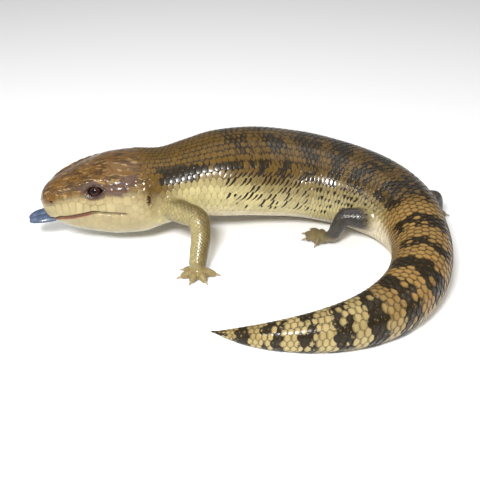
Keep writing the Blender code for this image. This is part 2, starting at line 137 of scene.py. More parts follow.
# Swells and hollows are less where the form's section is smaller than this.
FULL_RELIEF_REACH = 10 * MM

# How deep the skin lies inside the solids, in mm: on the head, and how much more under scales.
HEAD_DEPTH = 0.1
SCALES_DEPTH = 0.38
FLOOR_CLEARANCE = 0.5 * MM

# Places are a distance in mm and an angle. Sizes are half lengths along and up the skin, in mm.
EYE_PLACE = (30.9, 65.5)
EYE_OPENING = (4.0, 2.75)
EYE_RADIUS = 4.2 * MM
EYE_DEPTH = 2.5 * MM
EYE_GAP = 0.1 * MM
CORNEA_RISE = 0.30 * MM
NOSTRIL_PLACE = (6.0, 80)
NOSTRIL_SIZE = (1.25, 0.95)
EAR_PLACE = (60.8, 87)
EAR_SIZE = (1.5, 3.0)
EAR_LOBULES = ((-1.05, 1.75), (-0.75, -0.05), (-1.05, -1.8))

# Points too deep under an eye, nostril or ear count as this many of its sizes farther away.
LEFT_OUT = 9.0

TONGUE_CENTRE = (2.5 * MM, 1.0 * MM, 19.9 * MM)
TONGUE_HALF_SIZES = (10.5 * MM, 5.4 * MM, 2.0 * MM)
TONGUE_DROOP = 2.2 * MM
TONGUE_FULLNESS = 0.15
TONGUE_ROLL = math.radians(22)

# Each leg's path over the floor with the radius at each point, all in millimetres.
LEGS = {
    "foreleg_left": (
        (-41, -2, 27, 8.5), (-40, -13, 28, 8.0), (-34, -22, 29, 7.0), (-23.5, -29, 27.5, 6.3),
        (-22, -34.5, 20, 5.8), (-23.2, -41, 11.5, 5.4), (-23.8, -44, 7.2, 5.2),
    ),
    "foreleg_right": (
        (-43, 18, 27, 8.5), (-44, 30, 28, 8.0), (-41, 39, 28.5, 7.0), (-34, 46, 26, 6.3),
        (-34, 50, 19, 5.8), (-37.5, 53.5, 11.5, 5.4), (-39, 55, 7.2, 5.2),
    ),
    "hindleg_left": (
        (88, -5, 16, 8.5), (80, -10.5, 18, 8.0), (71, -13, 19.5, 6.8), (62, -12.5, 20, 5.4),
        (57.5, -13.5, 14.5, 4.5), (55.5, -13, 9.5, 4.0), (54, -11.5, 6.2, 3.9),
    ),
    "hindleg_right": (
        (96, 0, 16, 8.5), (105, 7, 17, 7.6), (112.5, 11.5, 18.5, 6.2), (118.5, 14.5, 18, 5.0),
        (121, 16.5, 13, 4.4), (122, 18, 9, 4.0), (122, 18, 6.2, 3.9),
    ),
}
FIRST_HIND_LEG = 2
LEG_DEPTH = 0.3 * MM
LEG_RING_PITCH = 1.1 * MM
LEG_SIDES = 36

# Distances outside the body, and heights over the floor, where a leg's own colour comes in and
# where its foot's colour ends, and how much of the shank's dark a hind foot keeps.
LEAVES_BODY = (-0.5 * MM, 6 * MM)
ANKLE = (5 * MM, 9 * MM)
HIND_FOOT_DARK = 0.45

# Each foot's palm place and half sizes, and the tips of its toes, thumb first, in millimetres.
FEET = {
    "forefoot_left": (
        (-23.7, -45.5), (6.4, 5.6, 3.6),
        ((-33, -40.5), (-34.7, -48.8), (-27.9, -54.8), (-18.6, -54.6), (-11.8, -46)),
    ),
    "forefoot_right": (
        (-39.3, 56), (6.4, 5.6, 3.6),
        ((-46.5, 48.5), (-51, 54.5), (-49.5, 62.5), (-41.5, 67), (-31, 64.5)),
    ),
    "hindfoot_left": (
        (48.5, -7), (7.0, 5.4, 3.4),
        ((50.5, 3.2), (43, 5.4), (38.2, 0), (38, -7.2), (44.5, -14.5)),
    ),
    "hindfoot_right": (
        (122, 21), (5.4, 7.0, 3.4),
        ((114, 27.5), (117.5, 32.5), (123, 33.5), (128, 30.5), (130.5, 22.5)),
    ),
}
PALM_HEIGHT = 2.8
FOOT_CLEARANCE = 0.15 * MM
TOE_STEPS = (0.0, 0.35, 0.6, 0.78, 0.88)
TOE_RADII = (2.6, 2.3, 1.95, 1.6, 1.15)
TOE_HEIGHTS = (3.2, 3.4, 2.7, 2.0, 1.75)
TOE_SCUTE_PITCH = 1.15 * MM
CLAW_RADIUS = 0.62

# Shields of the head on one side: distance in mm, angle, and how much larger than its neighbours.
SHIELDS = (
    (1.2, 0, 1.2), (5.0, 30, 0.4), (9.5, 0, 1.4), (15.5, 20, 0.6), (23.5, 0, 2.6),
    (34.5, 11, 0.4), (40.5, 0, 0.6), (45.5, 24, 1.8), (53.0, 9, 0.4), (20.5, 33, 0.2),
    (26.5, 34, 0.4), (32.5, 34, 0.3), (37.5, 36, 0.0), (10.2, 44, 0.2), (16.0, 47, 0.0),
    (21.5, 51, 0.0), (26.0, 51, 0.0), (30.5, 50, 0.0), (35.0, 51, 0.0), (5.6, 72, 0.9),
    (10.6, 68, 0.2), (15.0, 68, 0.4), (20.0, 69, 0.3), (24.0, 77, 0.0), (28.5, 83, 0.0),
    (33.0, 83, 0.0), (37.6, 78, 0.0), (38.6, 66, 0.0), (38.6, 55, 0.0), (43.5, 52, 0.6),
    (44.5, 67, 1.4), (50.5, 57, 0.8), (51.5, 71, 0.6), (52.0, 42, 0.4), (43.5, 80, 0.3),
    (49.0, 84, 0.2), (6.5, 101, 0.0), (9.7, 96, 0.0), (13.4, 93, 0.0), (17.3, 90, 0.1),
    (21.3, 91, 0.1), (25.4, 93, 0.1), (29.6, 93, 0.1), (34.0, 92, 0.2), (39.0, 91, 0.3),
    (44.4, 92, 0.2), (49.5, 95, 0.0), (9.5, 130, 0.0), (13.5, 123, 0.0), (17.8, 119, 0.0),
    (22.2, 115, 0.0), (26.8, 112, 0.0), (31.4, 110, 0.0), (36.2, 111, 0.0), (41.2, 111, 0.0),
    (46.3, 111, 0.0), (3.5, 160, 0.8), (9.5, 158, 0.6), (16.0, 160, 0.8), (23.0, 160, 0.8),
)

# Even rows of shields on the cheek, throat and nape: first and last distance, pitch in mm, pitch of
# the rows over that, and how far they stay from the shields above.
SHIELD_GRID_START = 19.0
SHIELD_GRID_END = 72.0
SHIELD_GRID_PITCH = 4.3
ROW_SPACING = 0.87
SHIELDS_APART = 3.3 * MM

# In mm, the reach of a shield's fall to its seam, that of the seam's dark line and the height of
# the ridge over the eye. Steps of the golden ratio give neighbouring shields different tones.
SEAM_REACH = 0.55
SEAM_WIDTH = 0.26
BROW_RIDGE = 0.50
GOLDEN_RATIO = 0.6180339887

# Dark bands across the back, blotches on the side and bands round the tail: first and last distance
# in mm, first and last angle, and strength.
BACK_BANDS = (
    (91, 99, 18, 36, 0.65), (108, 123, 4, 38, 0.92), (132, 147, 0, 42, 1.0),
    (155, 170, -18, 44, 1.05), (177, 191, -36, 46, 1.1), (199, 214, -30, 64, 1.15),
    (224, 246, -46, 58, 1.08),
)
SIDE_BLOTCHES = (
    (69, 86, 45, 64, 1.3), (84, 97, 45, 60, 1.2), (99, 112, 47, 62, 1.15), (116, 129, 47, 69, 1.2),
    (137, 150, 45, 70, 1.1), (158, 171, 43, 69, 1.0), (179, 192, 40, 68, 1.0),
)
TAIL_BANDS = (
    (258, 271, -70, 64, 0.95), (281, 290, -60, 52, 0.9), (299.5, 311.5, -100, 60, 1.0),
    (319, 330, -150, 85, 1.0), (337, 346, -150, 120, 1.0), (353, 361, -170, 150, 1.0),
    (369, 377, -180, 180, 1.0), (384, 394, -180, 180, 1.0), (400, 409, -180, 180, 0.95),
    (414, 424, -180, 180, 1.0),
)

# Pairs of a distance in mm and an angle: where the flank's pale colour starts, half the width of
# its soft edge, and where the belly's colour starts.
FLANK_FROM = (
    (0, 98), (6, 85), (9, 78), (20, 73), (30, 78), (38, 75), (50, 73), (57, 80), (62, 98), (68, 92),
    (78, 73), (90, 68), (112, 76), (130, 85), (165, 84), (200, 78), (250, 70), (420, 80),
)
FLANK_SOFTNESS = (
    (0, 9), (8, 14), (25, 14), (32, 9), (48, 9), (59, 26), (67, 26), (82, 12), (130, 18), (170, 30),
)
BELLY_FROM = (
    (0, 195), (9, 152), (55, 138), (90, 106), (165, 114), (200, 108), (240, 76), (300, 98), (420, 170),
)

# Rings of scales round the body, each from a distance along the spine: the scales in a ring, which
# is half the rows there, and the pitch of the rings, which is half a scale's open length.
SCALE_RINGS = (
    (57, 20, 1.55), (84, 20, 1.72), (210, 18, 1.76), (240, 15, 1.80), (272, 13, 1.76), (306, 11, 1.72),
    (336, 9, 1.66), (362, 8, 1.56), (386, 6, 1.44), (406, 5, 1.25),
)

# How much wider a plate is made than its row says, how far the lower side of a flank's scale leads
# its middle, the most that a scale's middle may lie inside a leg, and the side of a plate's patch
# on the unwrapped skin.
PLATE_WIDENING = 1.12
FLANK_SLANT = 2.5 * MM
SCALES_IN_LEG = 1.4 * MM
BAKE_PATCH = 0.0030

# The skin's rings along the spine, in mm, and the sides of a ring of the head, which are three times
# those of a ring of the body.
SNOUT_RINGS = (0.12, 0.35, 0.65, 1.0)
TAIL_TIP_RINGS = (415.8, 417.8, 419.5, 420.9, 421.9, 422.6)
HEAD_RING_PITCH = 0.42
BODY_RING_PITCH = 2.0
HEAD_SIDES = 288
SIDES_RATIO = 3
STITCH_PLACE = 70.0

# How many points are measured against every shield or sample at one time.
POINTS_AT_ONCE = 8000

BODY_NODES = (
    "head", "lower_jaw", "neck", "torso_front", "torso_middle", "torso_rear",
    "tail_base", "tail_middle", "tail_tip",
)

# The markings' inputs, each with a colour of its name in the sidebar, and the colours that aren't
# there: of the crown's streaks and its gold, which is partly a painted sheen, the painted shade of
# pits, the eye's parts, the claws' streaks and the floor.
MARKING_COLOURS = (
    "Back", "Flank", "Belly", "Tail", "Crown", "Cheek", "Throat", "Leg", "Shank", "Foot", "Dark", "Lip",
    "Temple",
)
CROWN_STREAKS = (0.052, 0.024, 0.007, 1.0)
# Golden streaks of the crown: partly its own golden flecks, partly a painted streaky sheen.
CROWN_GOLD_AND_SHEEN = (0.34, 0.22, 0.085, 1.0)
# Painted shade in the pits: the mouth's line, the eye openings, the nostrils and the ear cups.
PIT_SHADE = (0.045, 0.013, 0.010, 1.0)
IRIS_RAYS = (0.036, 0.008, 0.006, 1.0)
IRIS_RING = (0.07, 0.022, 0.014, 1.0)
EYE_EDGE = (0.012, 0.008, 0.007, 1.0)
PUPIL = (0.003, 0.002, 0.002, 1.0)
HORN_STREAKS = (0.20, 0.14, 0.08, 1.0)
FLOOR_COLOUR = (0.90, 0.90, 0.90, 1.0)


def smooth_through(at, places, values):
    """A monotone cubic through the places: its slope at a place is a weighted harmonic mean of the
    slopes on its two sides, and none where they differ in sign."""
    places = np.asarray(places, float)
    values = np.asarray(values, float)
    step = np.diff(places)
    slope = np.diff(values) / step
    tangent = np.zeros_like(values)
    before = 2 * step[1:] + step[:-1]
    after = step[1:] + 2 * step[:-1]
    same = slope[1:] * slope[:-1] > 0
    lower = np.where(same, slope[:-1], 1.0)
    upper = np.where(same, slope[1:], 1.0)
    tangent[1:-1] = np.where(same, (before + after) / (before / lower + after / upper), 0.0)
    tangent[0], tangent[-1] = slope[0], slope[-1]
    index = np.clip(np.searchsorted(places, at) - 1, 0, len(step) - 1)
    t = (at - places[index]) / step[index]
    return (
        (1 + 2 * t) * (1 - t) ** 2 * values[index]
        + t * (1 - t) ** 2 * step[index] * tangent[index]
        + t * t * (3 - 2 * t) * values[index + 1]
        + t * t * (t - 1) * step[index] * tangent[index + 1]
    )


def ease(low, high, value):
    """0 below low and 1 above high, with a smooth rise of 3t squared less 2t cubed between."""
    t = np.clip((value - low) / (high - low), 0.0, 1.0)
    return t * t * (3 - 2 * t)


def bump(value, centre, reach):
    """A bell of height 1: e to the minus square of the distance over the reach."""
    return np.exp(-(((value - centre) / reach) ** 2))


def from_table(place, table):
    """A value read from pairs of distance and value, straight between them."""
    return np.interp(place, *np.transpose(table))


def spine_table(samples=2001):
    """The spine's places, found by adding up short steps along its heading."""
    along = np.linspace(0, BODY_LENGTH, samples)
    heading = smooth_through(along, STATIONS[:, 0], STATIONS[:, 1])
    steps = np.diff(along)
    middle = (heading[1:] + heading[:-1]) / 2
    x = SNOUT[0] - PLAN_MIDDLE[0] + np.concatenate([[0], np.cumsum(np.cos(middle) * steps)])
    y = SNOUT[1] - PLAN_MIDDLE[1] + np.concatenate([[0], np.cumsum(np.sin(middle) * steps)])
    return along, x, y, heading


SPINE = spine_table()


def spine_at(along):
    """Place, height and heading of the spine. Before the snout it runs on straight."""
    inside = np.clip(along, 0, BODY_LENGTH)
    x, y, heading = (np.interp(inside, SPINE[0], column) for column in SPINE[1:])
    beyond = along - inside
    height = smooth_through(inside, STATIONS[:, 0], STATIONS[:, 5])
    return x + beyond * np.cos(heading), y + beyond * np.sin(heading), height, heading


def mouth_height(along):
    """Height of the mouth's line over the floor."""
    return smooth_through(along, MOUTH_LINE[:, 0], MOUTH_LINE[:, 1])


def signed_degrees(angle):
    """An angle in degrees between -180 and 180."""
    return np.degrees((angle + np.pi) % (2 * np.pi) - np.pi)


def relief(along, angle, height):
    """How far the form stands out from the plain section: soft swells, and the two lips."""
    degrees = np.abs(signed_degrees(angle))
    total = np.zeros(np.broadcast(along, angle).shape)
    for place, centre, reach, spread, swell in RELIEF:
        far = ((along / MM - place) / reach) ** 2 + ((degrees - centre) / spread) ** 2
        total = total + swell * MM * np.exp(-far)
    above = np.abs(height - mouth_height(along)) / LIP_REACH
    lips = LIP_SWELL * (np.exp(-((above - 1) ** 2) * 2) - np.exp(-((above * 3) ** 2)))
    fade = np.clip((MOUTH_CORNER - along) / LIP_FADE, 0, 1) * np.clip(along / LIP_FADE, 0, 1)
    return total + lips * fade


def reach_at(along, angle, height):
    """Distance from the spine to the form at an angle: a rounded section, fuller below."""
    inside = np.clip(along, 0, BODY_LENGTH)
    width, above, below = (smooth_through(inside, STATIONS[:, 0], STATIONS[:, k]) for k in (2, 3, 4))
    upper = np.cos(angle) > 0
    power = np.where(upper, FULLNESS_ABOVE, FULLNESS_BELOW)
    across = np.abs(np.sin(angle)) / width
    upright = np.abs(np.cos(angle)) / np.where(upper, above, below)
    reach = (across**power + upright**power) ** (-1 / power)
    swell = relief(along, angle, height + reach * np.cos(angle))
    return reach + swell * np.clip(reach / FULL_RELIEF_REACH, 0, 1)


def skin_at(along, angle):
    """Points of the skin: the swept form less the depth of the coat, eased level at the floor."""
    along, angle = np.broadcast_arrays(np.asarray(along, float), np.asarray(angle, float))
    x, y, height, heading = spine_at(along)
    depth = (HEAD_DEPTH + SCALES_DEPTH * ease(50, 66, along / MM)) * MM
    reach = reach_at(along, angle, height)
    reach = np.maximum(reach - depth, reach * 0.5)
    aside = reach * np.sin(angle)
    rise = soft_floor(height + reach * np.cos(angle), FLOOR_CLEARANCE, MM)
    return np.stack([x + aside * np.sin(heading), y - aside * np.cos(heading), rise], -1)


def soft_floor(rise, clearance, reach):
    """Heights eased so that none is under the clearance: those less than the reach over it fall
    towards it as e to the distance."""
    level = clearance + reach
    return np.where(rise > level, rise, clearance + reach * np.exp(np.minimum(rise - level, 0) / reach))


def unit(vectors):
    """Vectors divided by their lengths."""
    return vectors / np.maximum(np.linalg.norm(vectors, axis=-1, keepdims=True), 1e-12)


def skin_axes(along, angle):
    """Point, direction to the tail, direction round to the left and outward normal of the skin."""
    step = 0.25 * MM
    turn = 0.012
    point = skin_at(along, angle)
    back = np.minimum(along + step, BODY_LENGTH - 0.2 * MM)
    to_tail = unit(skin_at(back, angle) - skin_at(np.maximum(along - step, 0.05 * MM), angle))
    round_it = unit(skin_at(along, angle + turn) - skin_at(along, angle - turn))
    return point, to_tail, round_it, unit(np.cross(round_it, to_tail))


def raised_skin(along, angle, lift):
    """Skin points moved out along their normals."""
    point, _, _, out = skin_axes(along, angle)
    return point + out * lift[..., None]


def place_on_skin(place, side):
    """Origin, tailward, upward and outward axes at a named place on one side."""
    distance, degrees = place
    origin, to_tail, round_it, out = skin_axes(
        np.array(distance * MM), np.array(side * math.radians(degrees))
    )
    return origin, to_tail, -side * round_it, out


def path_lengths(points):
    """Distance of each point of a path from its first, along the path."""
    return np.concatenate([[0], np.cumsum(np.linalg.norm(np.diff(points[:, :3], axis=0), axis=1))])


def leg_table(name, samples=121):
    """A leg's smooth path with its radius, and two axes across it, carried along without twist."""
    points = np.array(LEGS[name], float) * MM
    points[:, :2] -= PLAN_MIDDLE
    lengths = path_lengths(points)
    at = np.linspace(0, lengths[-1], samples)
    path = np.stack([smooth_through(at, lengths, points[:, k]) for k in range(4)], -1)
    tangent = unit(np.gradient(path[:, :3], axis=0))
    normal = np.zeros_like(tangent)
    normal[0] = unit(np.cross(tangent[0], (0.0, 0.3, 1.0)))
    for k in range(1, samples):
        kept = normal[k - 1] - tangent[k] * np.dot(normal[k - 1], tangent[k])
        normal[k] = unit(kept)
    return at, path, normal, np.cross(tangent, normal)


LEG_TABLES = {name: leg_table(name) for name in LEGS}


def leg_at(name, along, angle, lift=0.0):
    """Points of a leg: a circle of the path's radius, carried along the path."""
    at, path, normal, second = LEG_TABLES[name]
    centre, first, other = (
        np.stack([np.interp(along, at, table[:, k]) for k in range(3)], -1)
        for table in (path, normal, second)
    )
    radius = np.interp(along, at, path[:, 3]) - LEG_DEPTH + lift
    across = np.cos(angle)[..., None] * first + np.sin(angle)[..., None] * other
    return centre + radius[..., None] * across


def palm_middle(foot, height):
    """The middle of a palm, in metres, at a height in metres."""
    (palm_x, palm_y), _, _ = FEET[foot]
    return np.array((palm_x * MM - PLAN_MIDDLE[0], palm_y * MM - PLAN_MIDDLE[1], height))


def toe_paths(name):
    """Path and radius of each toe's flesh, from the palm to where the claw leaves it, in metres."""
    (palm_x, palm_y), _, tips = FEET[name]
    steps = np.array(TOE_STEPS)
    toes = []
    for tip_x, tip_y in tips:
        x = (palm_x + (tip_x - palm_x) * steps) * MM - PLAN_MIDDLE[0]
        y = (palm_y + (tip_y - palm_y) * steps) * MM - PLAN_MIDDLE[1]
        toes.append(np.stack([x, y, np.array(TOE_HEIGHTS) * MM, np.array(TOE_RADII) * MM], -1))
    return toes


def grid_faces(rings, sides, start=0, closed=True):
    """Quads of a grid of rings, turned so that sides before rings gives the outward normal."""
    ring = np.arange(rings - 1)[:, None]
    side = np.arange(sides if closed else sides - 1)[None, :]
    after = (side + 1) % sides
    return start + np.stack(
        [ring * sides + side, ring * sides + after, (ring + 1) * sides + after, (ring + 1) * sides + side], -1
    ).reshape(-1, 4)


def cap_faces(start, sides, pole, first):
    """Triangles from a ring to its pole, outward for the first or the last end of a tube."""
    side = np.arange(sides)
    after = (side + 1) % sides
    order = [after, side] if first else [side, after]
    return np.stack([start + order[0], start + order[1], np.full(sides, pole)], -1)


def build_mesh(name, points, quads, triangles):
    """A mesh from whole arrays of points, quads and triangles."""
    mesh = bpy.data.meshes.new(name)
    points = np.ascontiguousarray(points, np.float32)
    quads = np.asarray(quads, np.int32).reshape(-1, 4)
    triangles = np.asarray(triangles, np.int32).reshape(-1, 3)
    corners = np.concatenate([quads.ravel(), triangles.ravel()])
    starts = np.concatenate([
        np.arange(len(quads)) * 4, len(quads) * 4 + np.arange(len(triangles)) * 3
    ])
    mesh.vertices.add(len(points))
    mesh.vertices.foreach_set("co", points.ravel())
    mesh.loops.add(len(corners))
    mesh.loops.foreach_set("vertex_index", corners.astype(np.int32))
    mesh.polygons.add(len(starts))
    mesh.polygons.foreach_set("loop_start", starts.astype(np.int32))
    mesh.update(calc_edges=True)
    mesh.validate()
    mesh.shade_smooth()
    return mesh


def closed_rings(rings, poles=None, turned=False):
    """Points, quads and triangles of a surface through its rings, with a pole at each end. The
    poles are the middles of the end rings unless they are given. The faces are turned round where
    the rings run the other way."""
    count, sides = rings.shape[:2]
    if poles is None:
        poles = (rings[0].mean(axis=0), rings[-1].mean(axis=0))
    points = np.concatenate([rings.reshape(-1, 3), poles])
    quads = grid_faces(count, sides)
    triangles = np.concatenate([
        cap_faces(0, sides, count * sides, True),
        cap_faces((count - 1) * sides, sides, count * sides + 1, False),
    ])
    if turned:
        return points, quads[:, ::-1], triangles[:, ::-1]
    return points, quads, triangles


def add_object(name, data):
    """An object in the scene that holds the data."""
    made = bpy.data.objects.new(name, data)
    bpy.context.scene.collection.objects.link(made)
    return made


def add_piece(name, mesh, material, nodes=()):
    """Links a finished mesh, gives it its material and says where it rides and what it replaces."""
    piece = add_object(name, mesh)
    mesh.materials.clear()
    mesh.materials.append(material)
    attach(piece, "root")
    if nodes:
        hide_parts(*nodes)
    return piece


def set_values(mesh, values):
    """Stores named numbers on the points of a mesh."""
    for name, value in values.items():
        layer = mesh.attributes.new(name, "FLOAT", "POINT")
        layer.data.foreach_set("value", np.ascontiguousarray(value, np.float32).ravel())


def swept_tube(centres, radii, sides, flat=1.0):
    """Points and faces of a closed tube along a path, its rings square to it."""
    tangent = unit(np.gradient(centres, axis=0))
    first = unit(np.cross(tangent, (0.0, 0.0, 1.0)) + 1e-9)
    second = np.cross(tangent, first)
    angle = np.linspace(0, 2 * np.pi, sides, endpoint=False)
    level = np.cos(angle)[None, :, None] * first[:, None]
    upright = flat * np.sin(angle)[None, :, None] * second[:, None]
    rings = centres[:, None] + radii[:, None, None] * (level + upright)
    return closed_rings(rings, (centres[0], centres[-1]))


def shield_seeds():
    """Middles of the shields: the named ones on both sides, and even rows over cheek and throat."""
    named = []
    for along, degrees, weight in SHIELDS:
        named.append((along, degrees, weight))
        if degrees > 0:
            named.append((along, -degrees, weight))
    named = np.array(named)
    rows = []
    places = np.arange(SHIELD_GRID_START, SHIELD_GRID_END, SHIELD_GRID_PITCH * ROW_SPACING)
    for k, along in enumerate(places):
        radius = 24.0 if along > 40 else 15 + along * 0.22
        count = int(round(2 * math.pi * radius / SHIELD_GRID_PITCH))
        degrees = (np.arange(count) + 0.5 * (k % 2)) * 360 / count - 180
        rows.append(np.stack([np.full(count, along), degrees, np.zeros(count)], -1))
    even = np.concatenate(rows)
    far = np.abs(even[:, 1])
    cheek = (even[:, 0] > 52) & (far > 36)
    nape = even[:, 0] > 56
    throat = far > 124
    even = even[cheek | nape | throat]
    even_points = skin_at(even[:, 0] * MM, np.radians(even[:, 1]))
    named_points = skin_at(named[:, 0] * MM, np.radians(named[:, 1]))
    apart = np.linalg.norm(even_points[:, None] - named_points[None], axis=-1).min(axis=1)
    seeds = np.concatenate([named, even[apart > SHIELDS_APART]])
    return seeds, skin_at(seeds[:, 0] * MM, np.radians(seeds[:, 1]))


def nearest_shields(points):
    """Distance to the seam between the two nearest shields, in mm, and the index of the nearest.
    A shield's distance is less its weight, so that a heavier one is larger."""
    seeds, places = shield_seeds()
    edge = np.empty(len(points))
    owner = np.empty(len(points), int)
    for start in range(0, len(points), POINTS_AT_ONCE):
        part = slice(start, start + POINTS_AT_ONCE)
        far = np.linalg.norm(points[part, None] - places[None], axis=-1) / MM - seeds[None, :, 2]
        order = np.argpartition(far, 1, axis=1)[:, :2]
        two = np.take_along_axis(far, order, axis=1)
        owner[part] = np.where(two[:, 0] <= two[:, 1], order[:, 0], order[:, 1])
        edge[part] = np.abs(two[:, 0] - two[:, 1]) / 2
    return edge, owner


def view_from(points, place, side, depth):
    """Distances in mm of points tailwards and upwards from a place on one side, and a large number
    for those that lie deeper under it than the depth in mm, to leave them out."""
    origin, to_tail, up, out = place_on_skin(place, side)
    offset = (points - origin) / MM
    return offset @ to_tail, offset @ up, np.where(offset @ out > -depth, 0.0, LEFT_OUT)


def mouth_relief(place, above, lift):
    """The lift with the line of the mouth sunk and the lips rolled out beside it, the painted shade in
    the line, and the red of the lower lip. above is the height over the line in mm."""
    open_mouth = ease(50, 46, place) * ease(-1, 3, place)
    lipped = open_mouth * ease(40, 28, place)
    wide = np.interp(place, (0, 26, 34), (0.58, 0.58, 0.42))
    line = np.exp(-((above / wide) ** 2)) * open_mouth
    lift = lift * (1 - 0.6 * np.exp(-((above / 1.1) ** 2)) * open_mouth)
    lift = lift - 1.15 * line + 0.25 * bump(above, 1.5, 0.8) * lipped
    lift = lift + 0.34 * bump(above, -1.35, 0.75) * lipped
    pit = np.exp(-((above / (wide * 1.5)) ** 4)) * open_mouth
    return lift, pit, 0.9 * bump(above, -0.80, 0.70) * open_mouth * ease(34, 24, place)


def eye_relief(points, side, lift):
    """The lift with the opening of an eye sunk, two rims round it and granular lids between them,
    and the marks of the opening, which is painted shade, the lids and the calm skin. The opening is
    an ellipse that is drawn out to a point at its rear corner."""
    u, v, away = view_from(points, EYE_PLACE, side, 9)
    corner = EYE_OPENING[0] + 1.3 * ease(0, 4, u) * np.exp(-((v / 1.3) ** 2))
    ring = np.sqrt((u / corner) ** 2 + (v / EYE_OPENING[1]) ** 2) + away
    calm = ease(2.1, 1.45, ring)
    grain = 0.5 + 0.5 * np.cos(np.arctan2(v, u) * 22) * np.cos(ring * 9)
    even = lift * (1 - calm) + calm * (0.10 * grain - 0.06)
    rims = 0.62 * bump(ring, 1.14, 0.12) + 0.30 * bump(ring, 1.46, 0.11) - 0.22 * bump(ring, 1.3, 0.07)
    lift = np.where(ring < 2.2, even + rims, lift) - 3.6 * ease(1.0, 0.74, ring)
    return lift, ease(1.02, 0.9, ring), ease(2.3, 1.3, ring), calm


def nostril_relief(points, side, lift):
    """The lift with a nostril's hole, its rim and the seams levelled round it, and the painted shade in its
    hole.
    """
    u, v, away = view_from(points, NOSTRIL_PLACE, side, 3)
    ring = np.sqrt((u / NOSTRIL_SIZE[0]) ** 2 + (v / NOSTRIL_SIZE[1]) ** 2) + away
    lift = np.where(ring < 3, lift * ease(0.8, 2.2, ring), lift)
    lift = lift - 1.5 * np.exp(-(ring**4)) + 0.30 * bump(ring, 1.45, 0.3)
    return lift, np.exp(-((ring / 0.95) ** 4))


def ear_relief(points, side, lift):
    """The lift with an ear's cup, its rim and its lobules, and the painted shade in the cup."""
    u, v, away = view_from(points, EAR_PLACE, side, 6)
    ring = np.sqrt((u / EAR_SIZE[0]) ** 2 + (v / EAR_SIZE[1]) ** 2) + away
    cup = ease(1.08, 0.7, ring)
    lobes = np.maximum.reduce([
        ease(1.25, 0.55, np.hypot(u - ahead, v - rise) / 0.95) for ahead, rise in EAR_LOBULES
    ])
    lift = lift - 2.7 * cup * (1 - 0.95 * lobes) + 0.28 * bump(ring, 1.3, 0.2) + 0.25 * lobes
    return lift, cup * (1 - lobes)


def head_relief(along, angle, points):
    """Lift of the head's skin in metres, and its marks: shields with sunken seams, a ridge of brow,
    the mouth, eyes, nostrils and ears, and folds of the nape. A shield is a plateau that falls to
    its seam as 1 less e to the minus distance."""
    place = along / MM
    degrees = np.abs(signed_degrees(angle))
    edge, owner = nearest_shields(points)
    plump = np.interp(degrees, (30, 45, 75, 85), (0.24, 0.34, 0.34, 0.22))
    plump = plump + 0.42 * bump(place, 45, 9) * bump(degrees, 62, 13)
    lift = plump * (1 - np.exp(-edge / SEAM_REACH)) - 0.75 * plump
    lift = lift + BROW_RIDGE * bump(degrees, 51, 3.8) * ease(8, 12, place) * ease(40, 34, place)
    seam = np.exp(-((edge / SEAM_WIDTH) ** 2)) * np.interp(degrees, (70, 100, 120), (0.42, 0.30, 0.16))
    seam = seam * (1 + 1.4 * bump(degrees, 90, 7) * ease(40, 34, place))
    tone = 0.32 + 0.36 * ((owner * GOLDEN_RATIO) % 1.0)
    above = (points[:, 2] - mouth_height(along)) / MM
    lift, pit, lip = mouth_relief(place, above, lift)
    lid = np.zeros_like(lift)
    for side in (1, -1):
        lift, opening, lids, calm = eye_relief(points, side, lift)
        lift, nostril = nostril_relief(points, side, lift)
        lift, cup = ear_relief(points, side, lift)
        # Painted shade in the mouth's line, the eye openings, the nostrils and the ear cups.
        pit = np.maximum.reduce([pit, opening, nostril, cup])
        lid = np.maximum(lid, lids)
        seam = seam * (1 - 0.8 * calm)
    folds = np.sin((place * 0.9 + degrees * 0.11) * 2.2) * bump(place, 61.5, 5) * bump(degrees, 42, 22)
    fore = 1 - ease(66, 71, place)
    fade = ease(0.0, 1.6, place)
    lift = (lift + 0.22 * folds) * fore
    marks = {"seam": seam * fade * fore, "tone": tone, "pit": pit, "lid": lid, "lip": lip}
    return lift * fade * MM, marks


def band_strength(place, degrees, bands, soft_along, soft_round):
    """The strongest of several soft-edged boxes on the distance and the signed angle."""
    total = np.zeros(np.broadcast(place, degrees).shape)
    for first, last, low, high, strength in bands:
        inside = ease(first - soft_along, first + soft_along, place)
        inside = inside * ease(last + soft_along, last - soft_along, place)
        within = ease(low - soft_round, low + soft_round, degrees)
        within = within * ease(high + soft_round, high - soft_round, degrees)
        total = np.maximum(total, strength * inside * within)
    return total


def dark_marks(place, degrees):
    """How dark the pattern is, 0 to about 1.2, at a distance in mm and a signed angle in degrees.
    The right side has the left's blotches and bands, moved a little along."""
    place, degrees = np.broadcast_arrays(place, degrees)
    mirrored = 0.9 * band_strength(place + 3, -degrees, BACK_BANDS, 2.6, 7) * ease(10, -10, degrees)
    left = np.where(degrees >= 0, place, place - 4)
    return np.maximum.reduce([
        band_strength(place, degrees, BACK_BANDS, 2.6, 7),
        mirrored,
        band_strength(left, np.abs(degrees), SIDE_BLOTCHES, 1.6, 4),
        band_strength(place, degrees, TAIL_BANDS, 1.2, 8),
    ])


def wavy(place, degrees):
    """The distance with a slow wave and a quicker one round the body, for uneven band edges."""
    slow = np.sin(degrees * 0.09 + place * 0.05)
    quick = np.sin(degrees * 0.27 + place * 0.11 + 1.3)
    return place + 1.7 * slow + 1.1 * quick


